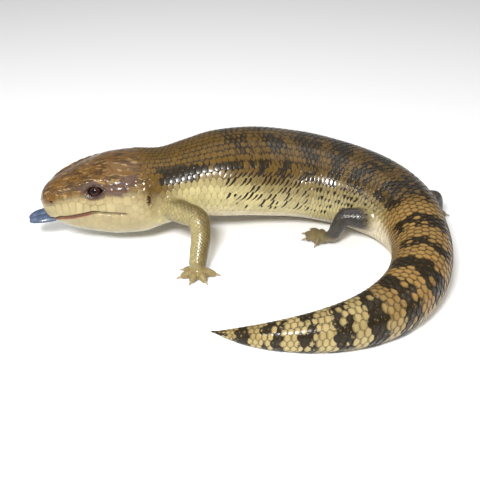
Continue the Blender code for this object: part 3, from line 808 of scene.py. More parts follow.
def flank_dashes(place, degrees, across, lengthwise, draw):
    """Dark strokes on the flank: the free edge of some slanting scales behind the foreleg, and
    farther back the lower side of some scales, where the strokes lie level."""
    side = np.abs(degrees)
    down = across * np.where(degrees >= 0, 1.0, -1.0)
    reach = (draw * 5.37) % 1.0
    slanting = ease(0.44 + 0.2 * reach, 0.62 + 0.2 * reach, lengthwise)
    slanting = slanting * ease(-1.0, -0.8, down - 0.9 * reach)
    level = ease(-0.30 + 0.5 * reach, 0.5 * reach, down)
    level = level * ease(0.15 + 0.35 * reach, 0.35 + 0.35 * reach, lengthwise)
    behind = ease(158, 170, place)
    share = np.interp(side, (64, 88, 108), (0.68, 0.62, 0.36)) * np.interp(place, (98, 125), (0.7, 1.0))
    chosen = ease(share + 0.03, share - 0.03, draw)
    zone = ease(98, 105, place) * ease(240, 226, place) * ease(60, 66, side) * ease(112, 104, side)
    return (slanting * (1 - behind) + level * behind) * chosen * zone


def zones(place, degrees):
    """Shares of the ground colours on the body at a distance in mm and a signed angle. The flank's
    pale colour also comes back on the hind tail."""
    side = np.abs(degrees)
    flank_from = from_table(place, FLANK_FROM)
    soft = from_table(place, FLANK_SOFTNESS)
    belly_from = from_table(place, BELLY_FROM)
    pale_tail = ease(325, 352, place) * (0.62 - 0.25 * ease(386, 404, place))
    return {
        "flank": np.maximum(ease(flank_from - soft, flank_from + soft, side), pale_tail),
        "belly": ease(belly_from - 8, belly_from + 22, side),
        "tail": ease(232, 258, place) * (1 - 0.70 * ease(315, 345, place)),
        "head": ease(66, 52, place),
    }


def row_lines(place, degrees, across):
    """Thin dark lines along the edges of the scale rows on the nape and fore back."""
    strength = ease(58, 66, place) * np.interp(place, (60, 125, 210), (1.0, 0.95, 0.75))
    return strength * ease(60, 50, np.abs(degrees)) * ease(0.38, 0.66, np.abs(across))


def new_node(tree, kind, **settings):
    node = tree.nodes.new(kind)
    for key, value in settings.items():
        setattr(node, key, value)
    return node


def read_value(tree, name):
    return new_node(tree, "ShaderNodeAttribute", attribute_name=name).outputs["Fac"]


def connect(tree, socket, value):
    """Links another node's output to the socket, or sets a plain number or colour on it."""
    if isinstance(value, bpy.types.NodeSocket):
        tree.links.new(value, socket)
    else:
        socket.default_value = value


def math_node(tree, operation, first, second=0.0, clamp=False):
    node = new_node(tree, "ShaderNodeMath", operation=operation, use_clamp=clamp)
    connect(tree, node.inputs[0], first)
    connect(tree, node.inputs[1], second)
    return node.outputs[0]


def mix_colours(tree, share, first, second, blend="MIX"):
    node = new_node(tree, "ShaderNodeMix", data_type="RGBA", blend_type=blend, clamp_factor=True)
    connect(tree, node.inputs[0], share)
    connect(tree, node.inputs[6], first)
    connect(tree, node.inputs[7], second)
    return node.outputs[2]


def stretch(tree, value, low, high, to_low=0.0, to_high=1.0):
    """A smooth step of a value between low and high, put out between to_low and to_high."""
    node = new_node(tree, "ShaderNodeMapRange", interpolation_type="SMOOTHSTEP")
    connect(tree, node.inputs[0], value)
    for index, number in zip((1, 2, 3, 4), (low, high, to_low, to_high)):
        node.inputs[index].default_value = number
    return node.outputs[0]


def noise(tree, scale, detail=3.0, roughness=0.55, along=1.0):
    """Noise over the object's own coordinates, with its scale in features to the metre. Where along
    is under 1 its features are that much longer, lengthwise and a little askew."""
    socket = new_node(tree, "ShaderNodeTexCoord").outputs["Object"]
    if along != 1.0:
        drawn = new_node(tree, "ShaderNodeMapping")
        drawn.inputs["Scale"].default_value = (along, 1.0, 1.0)
        drawn.inputs["Rotation"].default_value = (0.0, 0.5, 0.25)
        tree.links.new(socket, drawn.inputs["Vector"])
        socket = drawn.outputs["Vector"]
    node = new_node(tree, "ShaderNodeTexNoise")
    set_inputs(node, {"Scale": scale, "Detail": detail, "Roughness": roughness})
    tree.links.new(socket, node.inputs["Vector"])
    return node.outputs[0]


def set_inputs(node, values):
    for label, value in values.items():
        node.inputs[label].default_value = value


def new_material(name, values):
    """A material of nodes, its tree and its shader, with values set on the shader's own sockets."""
    material = bpy.data.materials.new(name)
    material.use_nodes = True
    shader = material.node_tree.nodes["Principled BSDF"]
    set_inputs(shader, values)
    return material, material.node_tree, shader


def add_bump(tree, shader, height, strength, distance):
    node = new_node(tree, "ShaderNodeBump")
    set_inputs(node, {"Strength": strength, "Distance": distance})
    tree.links.new(height, node.inputs["Height"])
    tree.links.new(node.outputs["Normal"], shader.inputs["Normal"])


def group_tree(name, inputs, outputs):
    """A shader node group with named colour and number inputs, and its two end nodes."""
    tree = bpy.data.node_groups.new(name, "ShaderNodeTree")
    for label, kind, value in inputs:
        socket = tree.interface.new_socket(name=label, in_out="INPUT", socket_type=kind)
        socket.default_value = value
    for label, kind in outputs:
        tree.interface.new_socket(name=label, in_out="OUTPUT", socket_type=kind)
    return tree, tree.nodes.new("NodeGroupInput"), tree.nodes.new("NodeGroupOutput")


def rgba(colour):
    return (*tuple(colour)[:3], 1.0)


def marking_colours(colours):
    """The user's colour for each colour input of the markings."""
    return {label: rgba(getattr(colours, label.lower())) for label in MARKING_COLOURS}


def markings_group(colours):
    """The skink's ground colours and dark pattern, shared by its skin and its scales. Each share of
    a colour is a number stored on the points of the mesh."""
    name = "skink markings"
    if name in bpy.data.node_groups:
        return bpy.data.node_groups[name]
    colour = "NodeSocketColor"
    number = "NodeSocketFloat"
    inputs = [(label, colour, value) for label, value in marking_colours(colours).items()]
    tree, given, result = group_tree(
        name, [*inputs, ("Rim Depth", number, 0.6)],
        (("Colour", colour), ("Roughness", number), ("Height", number)),
    )

    def mix(share, first, second):
        share = read_value(tree, share) if isinstance(share, str) else share
        first, second = (given.outputs[end] if isinstance(end, str) else end for end in (first, second))
        return mix_colours(tree, share, first, second)

    fine = noise(tree, 900.0)
    broad = noise(tree, 160.0, 2.0)
    uneven = math_node(tree, "SUBTRACT", broad, 0.5)
    ground = mix("belly", mix("tail", mix("flank", "Back", "Flank"), "Tail"), "Belly")
    streaks = stretch(tree, noise(tree, 340.0, 4.0, along=0.35), 0.45, 0.60, 0.0, 0.88)
    # Golden streaks on the crown: partly the crown's own flecks, partly a painted streaky sheen.
    gold_and_sheen = stretch(tree, noise(tree, 460.0, 3.0, along=0.35), 0.54, 0.66, 0.0, 0.72)
    crown = mix(gold_and_sheen, mix(streaks, "Crown", CROWN_STREAKS), CROWN_GOLD_AND_SHEEN)
    ragged = math_node(tree, "MULTIPLY", uneven, 1.6)
    temple = stretch(tree, math_node(tree, "ADD", read_value(tree, "temple"), ragged), 0.15, 0.75)
    face = mix("belly", mix(temple, mix("flank", crown, "Cheek"), "Temple"), "Throat")
    ground = mix("head", ground, face)
    pale = math_node(tree, "MULTIPLY", read_value(tree, "pale"), 0.5)
    ground = mix("limb", ground, mix(pale, "Leg", "Flank"))
    ground = mix("foot", mix("shank", ground, "Shank"), "Foot")
    varied = math_node(tree, "ADD", read_value(tree, "tone"), uneven)
    light = stretch(tree, varied, -0.2, 1.2, 0.76, 1.16)
    grey = new_node(tree, "ShaderNodeCombineColor")
    for index in range(3):
        tree.links.new(light, grey.inputs[index])
    ground = mix_colours(tree, 1.0, ground, grey.outputs[0], "MULTIPLY")
    ground = mix("lip", ground, "Lip")
    speck = math_node(tree, "MULTIPLY", math_node(tree, "SUBTRACT", fine, 0.5), 0.9)
    marked = stretch(tree, math_node(tree, "ADD", read_value(tree, "dark"), speck), 0.30, 0.62)
    ground = mix(marked, ground, "Dark")
    rim = math_node(tree, "MULTIPLY", read_value(tree, "rim"), given.outputs["Rim Depth"])
    ground = mix(rim, ground, mix(0.78, ground, "Dark"))
    # Painted shade: the mouth's line, eye openings, nostrils and ear cups are darkened towards a maroon
    # brown.
    ground = mix("pit", ground, mix(0.9, ground, PIT_SHADE))
    tree.links.new(ground, result.inputs["Colour"])
    tree.links.new(stretch(tree, fine, 0.25, 0.75, 0.27, 0.41), result.inputs["Roughness"])
    tree.links.new(fine, result.inputs["Height"])
    return tree


def skin_material(name, colours, coat, bump_depth, rim_depth):
    """A glossy scaly skin: the shared markings under a thin clear coat, with a fine grain."""
    material, tree, shader = new_material(name, {
        "Specular IOR Level": 0.13, "Coat Weight": coat, "Coat Roughness": 0.17,
    })
    group = tree.nodes.new("ShaderNodeGroup")
    group.node_tree = markings_group(colours)
    set_inputs(group, {**marking_colours(colours), "Rim Depth": rim_depth})
    tree.links.new(group.outputs["Colour"], shader.inputs["Base Color"])
    tree.links.new(group.outputs["Roughness"], shader.inputs["Roughness"])
    add_bump(tree, shader, group.outputs["Height"], 0.35, bump_depth)
    return material


def colour_property(name, description, default):
    return bpy.props.FloatVectorProperty(
        name=name, description=description, default=default, size=3, subtype="COLOR", min=0.0, max=1.0
    )


class SkinkColours(bpy.types.PropertyGroup):
    """Colours of the living animal, in linear light."""

    back: colour_property("Back", "Ground colour of the back", (0.097, 0.053, 0.008))
    flank: colour_property("Flank", "Ground colour of the side", (0.45, 0.385, 0.18))
    belly: colour_property("Belly", "Colour under the body", (0.62, 0.54, 0.38))
    tail: colour_property("Tail", "Ground colour of the tail", (0.29, 0.17, 0.050))
    crown: colour_property("Crown", "Top of the head", (0.130, 0.062, 0.012))
    cheek: colour_property("Cheek", "Side of the head", (0.345, 0.278, 0.135))
    throat: colour_property("Throat", "Lower jaw and throat", (0.55, 0.535, 0.39))
    leg: colour_property("Leg", "Forelegs", (0.118, 0.082, 0.024))
    shank: colour_property("Shank", "Hind legs", (0.038, 0.032, 0.027))
    foot: colour_property("Foot", "Feet and toes", (0.30, 0.225, 0.085))
    dark: colour_property("Dark", "Bands and blotches", (0.016, 0.010, 0.003))
    temple: colour_property("Temple", "Round the eye and behind it", (0.085, 0.047, 0.030))
    lip: colour_property("Lip", "Edge of the lower lip", (0.21, 0.075, 0.055))
    iris: colour_property("Iris", "Iris of the eye", (0.016, 0.004, 0.003))
    tongue: colour_property("Tongue", "Tongue", (0.036, 0.056, 0.104))
    claw: colour_property("Claw", "Claws", (0.36, 0.28, 0.17))


def length_property(name, description, default, low, high):
    return bpy.props.FloatProperty(
        name=name, description=description, default=default * MM, min=low * MM, max=high * MM,
        precision=5, subtype="DISTANCE", unit="LENGTH",
    )


class SkinkSizes(bpy.types.PropertyGroup):
    """Sizes of the coat and the small pieces, in metres."""

    scale_crown: length_property(
        "Scale crown", "How far the middle of a scale stands over its sides", 0.11, 0.0, 1
    )
    scale_rise: length_property(
        "Scale rise", "How far a scale rises from its root to its free edge", 0.50, 0.0, 2
    )
    scale_overlap: bpy.props.FloatProperty(
        name="Scale overlap", description="Length of a scale over the length left open",
        default=1.34, min=1.0, max=2.5, subtype="FACTOR",
    )
    leg_scale: length_property("Leg scale", "Pitch of the rows of scales on the legs", 1.75, 1, 6)
    claw_length: length_property("Claw length", "Length of each claw beyond the toe", 2.6, 0.5, 6)


def side_angles():
    """Angles of the head's sides, closer together round the eye and along the mouth."""
    fine = np.linspace(-math.pi, math.pi, 4001)
    degrees = np.abs(np.degrees(fine))
    density = 0.62 + 1.3 * bump(degrees, 106, 17) + 1.15 * bump(degrees, 67, 15)
    total = np.concatenate([[0], np.cumsum((density[1:] + density[:-1]) / 2)])
    return np.interp(np.arange(HEAD_SIDES) / HEAD_SIDES, total / total[-1], fine)


def body_surface():
    """The swept skin as points and faces: fine rings on the head, with its relief, stitched three
    to one to the coarser rings of the body, and a pole at each end."""
    angles = side_angles()
    head_places = np.concatenate([
        SNOUT_RINGS, np.arange(1.4, STITCH_PLACE + 0.01, HEAD_RING_PITCH)
    ]) * MM
    along, angle = (grid.ravel() for grid in np.meshgrid(head_places, angles, indexing="ij"))
    base, _, _, out = skin_axes(along, angle)
    lift, _ = head_relief(along, angle, base)
    head_points = base + out * lift[:, None]
    coarse = angles[::SIDES_RATIO]
    body_places = np.concatenate([
        np.arange(head_places[-1] / MM + 1.4, 414, BODY_RING_PITCH), TAIL_TIP_RINGS
    ]) * MM
    along, angle = (grid.ravel() for grid in np.meshgrid(body_places, coarse, indexing="ij"))
    body_points = skin_at(along, angle)
    head_count = len(head_points)
    few = len(coarse)
    snout = head_points[:HEAD_SIDES].mean(axis=0)
    snout[0] -= 0.1 * MM
    tip = body_points[-few:].mean(axis=0)
    points = np.concatenate([head_points, body_points, [snout, tip]])
    quads = np.concatenate([
        grid_faces(len(head_places), HEAD_SIDES), grid_faces(len(body_places), few, head_count)
    ])
    last = head_count + (len(body_places) - 1) * few
    triangles = np.concatenate([
        cap_faces(0, HEAD_SIDES, len(points) - 2, True),
        stitch_faces(head_count, few),
        cap_faces(last, few, len(points) - 1, False),
    ])
    return points, quads, triangles


def stitch_faces(head_count, few):
    """Triangles between the head's last ring, of three times as many sides, and the body's first:
    four to each side of the coarser ring."""
    k = np.arange(few)
    fine = head_count - HEAD_SIDES + SIDES_RATIO * k
    fine_end = head_count - HEAD_SIDES + (SIDES_RATIO * (k + 1)) % HEAD_SIDES
    near = head_count + k
    far = head_count + (k + 1) % few
    return np.concatenate([
        np.stack([fine, fine + 1, near], -1), np.stack([fine + 1, far, near], -1),
        np.stack([fine + 1, fine + 2, far], -1), np.stack([fine + 2, fine_end, far], -1),
    ])


def leg_surface(name):
    """A leg's tube from inside the body down into its palm."""
    length = LEG_TABLES[name][0][-1]
    along = np.linspace(0, length, int(length / LEG_RING_PITCH))
    angle = np.linspace(0, 2 * math.pi, LEG_SIDES, endpoint=False)
    rings = leg_at(name, along[:, None] + 0 * angle, angle[None, :] + 0 * along[:, None])
    palm = palm_middle(name.replace("leg", "foot"), 2.2 * MM)
    steps = np.array((0.3, 0.55, 0.75))[:, None, None]
    sunk = palm + (rings[-1] - rings[-1].mean(axis=0)) * (0.95, 0.95, 0.2)
    return closed_rings(np.concatenate([rings, rings[-1][None] * (1 - steps) + sunk * steps]))


def palm_surface(name):
    """A palm: an ellipsoid, flattened where it rests on the floor."""
    (palm_x, palm_y), half_sizes, _ = FEET[name]
    rise = np.linspace(0, math.pi, 19)[1:-1]
    turn = np.linspace(0, 2 * math.pi, 32, endpoint=False)
    x = np.sin(rise)[:, None] * np.cos(turn) * half_sizes[0]
    y = np.sin(rise)[:, None] * np.sin(turn) * half_sizes[1]
    z = np.cos(rise)[:, None] * half_sizes[2] + 0 * turn
    rings = np.stack([x + palm_x, y + palm_y, z + PALM_HEIGHT], -1) * MM
    rings[..., :2] -= PLAN_MIDDLE
    rings[..., 2] = soft_floor(rings[..., 2], FOOT_CLEARANCE, 0.5 * MM)
    return closed_rings(rings, turned=True)


def toe_surfaces(name):
    """Each toe as a tube with a swollen knuckle and a low step for each scute across it."""
    made = []
    for path in toe_paths(name):
        lengths = path_lengths(path)
        at = np.linspace(0, lengths[-1], 30)
        smooth = np.stack([smooth_through(at, lengths, path[:, k]) for k in range(4)], -1)
        scutes = 0.10 * MM * (1 - np.abs(2 * ((at / TOE_SCUTE_PITCH) % 1) - 1)) ** 0.7
        knuckle = 0.22 * MM * bump(at / lengths[-1], 0.62, 0.10)
        round_tip = np.sqrt(np.clip(1 - ease(0.86, 1.0, at / lengths[-1]) ** 2 * 0.75, 0, 1))
        radii = (smooth[:, 3] + scutes + knuckle) * round_tip
        points, quads, triangles = swept_tube(smooth[:, :3], radii, 14)
        points[:, 2] = soft_floor(points[:, 2], FOOT_CLEARANCE, 0.5 * MM)
        made.append((points, quads, triangles))
    return made


def joined_skin(name, first, others):
    """One Boolean union of a closed surface with closed ones that cross it."""
    group = bpy.data.collections.new("limbs to join")
    bpy.context.scene.collection.children.link(group)
    body = add_object(name, build_mesh(name, *first))
    for number, surface in enumerate(others):
        limb = bpy.data.objects.new(f"limb {number}", build_mesh(f"limb {number}", *surface))
        group.objects.link(limb)
    union = body.modifiers.new("union", "BOOLEAN")
    union.operation = "UNION"
    union.operand_type = "COLLECTION"
    union.solver = "MANIFOLD"
    union.collection = group
    graph = bpy.context.evaluated_depsgraph_get()
    mesh = bpy.data.meshes.new_from_object(body.evaluated_get(graph))
    for limb in list(group.objects):
        bpy.data.objects.remove(limb)
    bpy.data.collections.remove(group)
    bpy.data.objects.remove(body)
    mesh.name = name
    return mesh


def mesh_points(mesh):
    points = np.empty(len(mesh.vertices) * 3, np.float32)
    mesh.vertices.foreach_get("co", points)
    return points.reshape(-1, 3).astype(float)


def mesh_edges(mesh):
    ends = np.empty(len(mesh.edges) * 2, np.int32)
    mesh.edges.foreach_get("vertices", ends)
    return ends.reshape(-1, 2)


def nearest_on_spine(points):
    """Distance along the spine, angle and distance from the spine of each point, from the nearest
    place in plan: the best of even samples, then moved square to the heading a few times."""
    samples = np.linspace(0, BODY_LENGTH, 841)
    x, y, _, _ = spine_at(samples)
    along = np.empty(len(points))
    for start in range(0, len(points), POINTS_AT_ONCE):
        part = slice(start, start + POINTS_AT_ONCE)
        far = (points[part, 0:1] - x) ** 2 + (points[part, 1:2] - y) ** 2
        along[part] = samples[far.argmin(axis=1)]
    for _ in range(3):
        x_at, y_at, height, heading = spine_at(along)
        ahead = (points[:, 0] - x_at) * np.cos(heading) + (points[:, 1] - y_at) * np.sin(heading)
        along = np.clip(along + np.clip(ahead, -MM, MM), 0, BODY_LENGTH)
    x_at, y_at, height, heading = spine_at(along)
    aside = (points[:, 0] - x_at) * np.sin(heading) - (points[:, 1] - y_at) * np.cos(heading)
    return along, np.arctan2(aside, points[:, 2] - height), np.hypot(aside, points[:, 2] - height)


def outside_body(points):
    """Distance along the spine and angle of each point, and how far it lies outside the body."""
    along, angle, reach = nearest_on_spine(points)
    return along, angle, reach - reach_at(along, angle, spine_at(along)[2])


def outside_balls(points, balls):
    """Distance of each point outside the nearest of several balls, given as place and radius."""
    far = np.linalg.norm(points[:, None] - balls[None, :, :3], axis=-1) - balls[None, :, 3]
    return far.min(axis=1)


def outside_legs(points):
    """For each point its distance outside the nearest leg, outside the nearest foot, and that leg's
    number, with distances in metres."""
    leg_far = np.full(len(points), 1.0)
    foot_far = np.full(len(points), 1.0)
    leg_number = np.zeros(len(points), int)
    for number, name in enumerate(LEGS):
        far = outside_balls(points, LEG_TABLES[name][1][::3])
        leg_number = np.where(far < leg_far, number, leg_number)
        leg_far = np.minimum(leg_far, far)
        foot = name.replace("leg", "foot")
        half_sizes = np.array(FEET[foot][1]) * MM
        scaled = np.linalg.norm((points - palm_middle(foot, PALM_HEIGHT * MM)) / half_sizes, axis=1) - 1
        foot_far = np.minimum(foot_far, scaled * 4 * MM)
        for toe in toe_paths(foot):
            steps = np.linspace(0, 1, 12)
            spread = TOE_STEPS / np.max(TOE_STEPS)
            balls = np.stack([np.interp(steps, spread, toe[:, k]) for k in range(4)], -1)
            foot_far = np.minimum(foot_far, outside_balls(points, balls))
    return leg_far, foot_far, leg_number


def soften_creases(points, edges, weight, rounds=14):
    """Moves points towards the mean of their neighbours, by their weight, a few times."""
    count = np.zeros(len(points))
    np.add.at(count, edges[:, 0], 1)
    np.add.at(count, edges[:, 1], 1)
    for _ in range(rounds):
        total = np.zeros_like(points)
        np.add.at(total, edges[:, 0], points[edges[:, 1]])
        np.add.at(total, edges[:, 1], points[edges[:, 0]])
        points = points + (total / np.maximum(count, 1)[:, None] - points) * (0.6 * weight)[:, None]
    return points


def limb_marks(number, leg_far, foot_far, body_far, rise):
    """Shares of the leg, dark shank and foot colours. The leg's colour fades in from the body, and
    a hind foot keeps some of its dark shank."""
    limb = ease(2.6 * MM, 0.3 * MM, leg_far) * ease(*LEAVES_BODY, body_far)
    foot = np.maximum(ease(1.4 * MM, 0.2 * MM, foot_far), limb * (1 - ease(*ANKLE, rise)))
    hind = (number >= FIRST_HIND_LEG).astype(float)
    return limb, np.maximum(limb, foot) * hind, foot * (1 - HIND_FOOT_DARK * hind)


def pale_side(mesh):
    """How far each point faces forwards, outwards or down, where a leg is paler."""
    facing = np.empty(len(mesh.vertices) * 3)
    mesh.vertex_normals.foreach_get("vector", facing)
    facing = facing.reshape(-1, 3)
    forwards, outwards, upwards = -facing[:, 0], np.abs(facing[:, 1]), facing[:, 2]
    turned = 0.60 * forwards + 0.75 * outwards - 0.15 * upwards + 0.6 * np.maximum(-upwards, 0)
    return ease(0.10, 0.75, turned)


def skin_values(mesh, points, along, angle, body_far, leg_values):
    """Numbers for the markings on the skin's points. Ahead of the neck the head's own marks are
    laid over those of the body."""
    place = along / MM
    degrees = signed_degrees(angle)
    limb, shank, foot = leg_values
    values = zones(place, degrees)
    values.update(limb=limb, shank=shank, foot=foot, pale=pale_side(mesh))
    values["dark"] = dark_marks(place, degrees) * ease(4 * MM, 1 * MM, np.abs(body_far)) * (1 - limb)
    values["head"] = values["head"] * (1 - limb)
    values["tone"] = np.full(len(points), 0.35)
    values["rim"] = 0.35 * ease(60, 72, place)
    values.update({name: np.zeros(len(points)) for name in ("pit", "lip", "temple")})
    fore = np.flatnonzero(place < STITCH_PLACE + 3)
    _, marks = head_relief(along[fore], angle[fore], skin_at(along[fore], angle[fore]))
    patches, strokes = head_patches(place[fore], np.abs(degrees[fore]))
    lids = marks.pop("lid")
    marks["rim"] = np.maximum(values["rim"][fore], marks.pop("seam"))
    marks["temple"] = np.maximum(patches, lids)
    marks["dark"] = np.maximum.reduce([values["dark"][fore], strokes, 0.47 * lids**2])
    for name, numbers in marks.items():
        values[name][fore] = numbers
    return values


class SKINK_OT_skin(bpy.types.Operator):
    """Make the one skin of head, body, tail, legs and feet"""

    bl_idname = "skink.skin"
    bl_label = "Skin"

    def execute(self, context):
        limbs = []
        for name in LEGS:
            foot = name.replace("leg", "foot")
            limbs += [leg_surface(name), palm_surface(foot), *toe_surfaces(foot)]
        mesh = joined_skin("skin", body_surface(), limbs)
        points = mesh_points(mesh)
        along, angle, body_far = outside_body(points)
        leg_far, foot_far, number = outside_legs(points)
        crease = np.exp(-(leg_far**2 + body_far**2) / (2.4 * MM) ** 2) * (along > 64 * MM)
        crease = np.maximum(crease, 0.8 * np.exp(-(foot_far**2 + leg_far**2) / (1.0 * MM) ** 2))
        points = soften_creases(points, mesh_edges(mesh), np.clip(crease * 1.4, 0, 1))
        mesh.vertices.foreach_set("co", points.astype(np.float32).ravel())
        leg_values = limb_marks(number, leg_far, foot_far, body_far, points[:, 2])
        set_values(mesh, skin_values(mesh, points, along, angle, body_far, leg_values))
        material = skin_material("skink skin", context.scene.skink_colours, 0.60, 0.10 * MM, 0.8)
        add_piece("skin", mesh, material, [*BODY_NODES, *LEGS, *FEET])
        mesh.shade_smooth()
        return {"FINISHED"}


def head_patches(place, side):
    """How far the skin takes the brown of the temple, round the eye and in a patch behind it, and
    the dark strokes at the rear corner of the eye, round that patch, over the eye and on the nape."""
    round_eye = np.exp(-((((place - 28.6) / 7.2) ** 2 + ((side - 65.5) / 10.5) ** 2) ** 1.5))
    long_patch = np.exp(-((((place - 43.0) / 8.4) ** 2 + ((side - 65.0) / 9.5) ** 2) ** 2))
    upper_patch = np.exp(-((((place - 51.0) / 6.0) ** 2 + ((side - 57.5) / 9.5) ** 2) ** 2))
    patches = np.maximum.reduce([0.95 * round_eye, 0.9 * long_patch, 0.8 * upper_patch])
    corner = 0.46 * bump(place, 35.6, 1.5) * bump(side, 67, 5)
    under = 0.44 * ease(35, 39, place) * ease(54, 47, place) * bump(side, 75, 1.8)
    upper = 0.34 * ease(40, 45, place) * ease(56, 52, place) * bump(side, 52, 2.2)
    crease = 0.36 * ease(19, 23, place) * ease(42, 36, place) * bump(side, 37, 2.0)
    nape = 0.34 * ease(52, 56, place) * ease(64, 60, place) * bump(side, 60, 5)
    return patches, np.maximum.reduce([corner, under, upper, crease, nape])


def plate_template(across, lengthwise):
    """A plate's grid: a from -1 to 1 across, b from 0 at the root to 1 at the free edge, with the
    edges of the grid flagged, its quads, and triangles from its border to one point beneath."""
    a, b = (grid.ravel() for grid in np.meshgrid(across, lengthwise))
    columns = len(across)
    rows = len(lengthwise)
    number = np.arange(rows * columns).reshape(rows, columns)
    border = np.concatenate([number[0, :-1], number[:-1, -1], number[-1, :0:-1], number[:0:-1, 0]])
    edge = np.zeros(rows * columns)
    edge[border] = 1.0
    quads = grid_faces(rows, columns, closed=False)
    beneath = rows * columns
    triangles = np.stack([np.roll(border, -1), border, np.full(len(border), beneath)], -1)
    return a, b, edge, quads, triangles


FULL_PLATE = ((-1, -0.93, -0.6, -0.2, 0.2, 0.6, 0.93, 1), (0, 0.25, 0.5, 0.7, 0.86, 0.96, 1))
SMALL_PLATE = ((-1, -0.88, -0.32, 0.32, 0.88, 1), (0, 0.4, 0.72, 0.94, 1))


def plates(centres, template, sizes, surface):
    """Overlapping scales as closed pillows on a surface. centres holds, for each, its distance,
    angle, length, half width in angle and slant. A plate narrows to its root, has a rounded free
    edge, rises from root to edge, is crowned across, and drops at its border to a thin wall. Gives
    the points and faces, then each point's distance and angle, plate by plate, and its place across
    and along its plate."""
    a, b, edge, quads, triangles = plate_template(*template)
    narrow = np.where(b < 0.6, 1 - 0.34 * (1 - b / 0.6) ** 2, 1 - 0.20 * ((b - 0.6) / 0.4) ** 2)
    back = b * (1 - 0.27 * np.abs(a) ** 2.2 * b)
    rise, crown = sizes
    lift = rise * (b**0.85) - 0.42 * rise + crown * (1 - a**2) * np.sin(math.pi * np.clip(b, 0.12, 0.88))
    lift = lift - 0.36 * rise * edge
    back = np.append(back, 0.55)
    wide = np.append(narrow * a, 0.0)
    lift = np.append(lift, -0.75 * rise)
    along, angle, length, half, slant = centres.T
    at = along[:, None] + (back[None, :] - 0.5) * length[:, None] - slant[:, None] * wide[None, :]
    turn = angle[:, None] + wide[None, :] * half[:, None]
    points = surface(at, turn, np.broadcast_to(lift, at.shape))
    start = np.arange(len(along))[:, None, None] * len(back)
    quads = (quads[None] + start).reshape(-1, 4)
    triangles = (triangles[None] + start).reshape(-1, 3)
    return (points.reshape(-1, 3), quads, triangles), at, turn, np.append(a, 0.0), np.append(b, 0.5)


def bake_map(mesh, middles, a, b):
    """A small patch for each plate, laid out at its root's place on the unwrapped skin."""
    u = middles[:, 0:1] + (b[None, :] - 0.5) * BAKE_PATCH
    v = middles[:, 1:2] + a[None, :] * BAKE_PATCH / 2
    points = np.stack([u, v], -1).reshape(-1, 2)
    corners = np.empty(len(mesh.loops), np.int32)
    mesh.loops.foreach_get("vertex_index", corners)
    layer = mesh.uv_layers.new(name="OFBake")
    layer.data.foreach_set("uv", points[corners].astype(np.float32).ravel())


def body_scale_centres(first, last):
    """Middles of the scales between two distances: rings at their pitch, each turned by half a
    scale from the one before, with a little seeded unevenness. Each row is a distance in mm, an
    angle in degrees, a length in mm, a half width in degrees and a random number."""
    draw = np.random.default_rng(7)
    rings = []
    place = SCALE_RINGS[0][0]
    number = 0
    while place < 421.5:
        _, rows, pitch = [ring for ring in SCALE_RINGS if ring[0] <= place][-1]
        shift = draw.normal(0, 1, (rows, 3))
        degrees = (np.arange(rows) + 0.5 * (number % 2)) * 360 / rows - 180
        rings.append(np.stack([
            place + 0.10 * shift[:, 0], degrees + 0.30 * shift[:, 1], 2 * pitch * (1 + 0.03 * shift[:, 2]),
            np.full(rows, 120 / rows), draw.random(rows),
        ], -1))
        place += pitch
        number += 1
    every = np.concatenate(rings)
    side = np.abs(signed_degrees(np.radians(every[:, 1])))
    begins = 57 + 8.5 * ease(42, 80, side)
    return every[(every[:, 0] >= np.maximum(first, begins)) & (every[:, 0] < last)]


def slant_of_flank(place, degrees):
    """How far the side of a scale leads its middle, in metres: scales behind the foreleg slant
    down and forwards, by one scale's length for each row, so that they still fit together."""
    side = np.abs(degrees)
    zone = ease(97, 104, place) * ease(170, 160, place) * ease(56, 62, side) * ease(122, 114, side)
    return FLANK_SLANT * zone * np.sign(degrees)


def scale_pattern(centres, at, turn, a, b):
    """How dark the points of the body's scales are: the bands, whose edges follow the scales, with
    paler scales and flecks in them, and the strokes, row lines and dashes of single scales."""
    place, degrees = scale_ground(centres, at, turn)
    draw = centres[:, 4:5]
    second = (draw * 7.13) % 1.0
    third = (draw * 13.7) % 1.0
    width = np.abs(a)
    side = np.abs(degrees)
    on_tail = ease(245, 262, place)
    shift = (1 - 0.55 * on_tail) * (wavy(place, degrees) - place + 2.6 * (draw - 0.5))
    mottled = np.maximum(ease(84, 90, place), ease(46, 40, side))
    paler = mottled * ease(0.34, 0.26, second + 0.16 * on_tail)
    fleck = ease(0.9, 0.3, width) * bump(b, 0.62, 0.20) * ease(0.85, 0.65, third) * mottled
    bands = dark_marks(place + shift, degrees) * (1 - 0.62 * paler) - (0.80 - 0.3 * on_tail) * fleck
    stroke = ease(0.62, 0.30, width) * bump(b, 0.50, 0.26) * ease(0.50, 0.44, (third * 3.7) % 1.0)
    stroke = stroke * ease(96, 112, place) * ease(258, 240, place) * ease(66, 58, side)
    own_degrees = signed_degrees(turn)
    lines = row_lines(at / MM, own_degrees, a[None, :]) * ease(1.0, 0.82, third)
    lines = lines * (1 - 0.85 * ease(0.76, 0.90, b))[None, :]
    dashes = flank_dashes(at / MM, own_degrees, a[None, :], b[None, :], second)
    return np.clip(np.maximum.reduce([bands, 0.66 * lines, 0.85 * dashes, 0.62 * stroke]), 0, 1.2)


def scale_ground(centres, at, turn):
    """The distance and signed angle that a scale's colours are read at: mostly its middle's, so
    that most of a scale has one colour."""
    place = 0.30 * at / MM + 0.70 * centres[:, 0:1]
    return place, signed_degrees(0.25 * turn + 0.75 * np.radians(centres[:, 1:2]))


def scale_rims(at, a, b):
    """How dark the free edge and the sides of the body's scales are, more so towards the tail."""
    width = np.abs(a)
    free = ease(0.72, 0.95, b)[None, :] * np.interp(at / MM, (57, 110, 170, 240), (0.0, 0.10, 0.75, 1.0))
    strength = np.interp(at / MM, (57, 90, 165, 200, 262), (0.3, 0.4, 0.6, 0.8, 1.0))
    return np.maximum(free, ease(0.60, 0.92, width)[None, :]) * strength


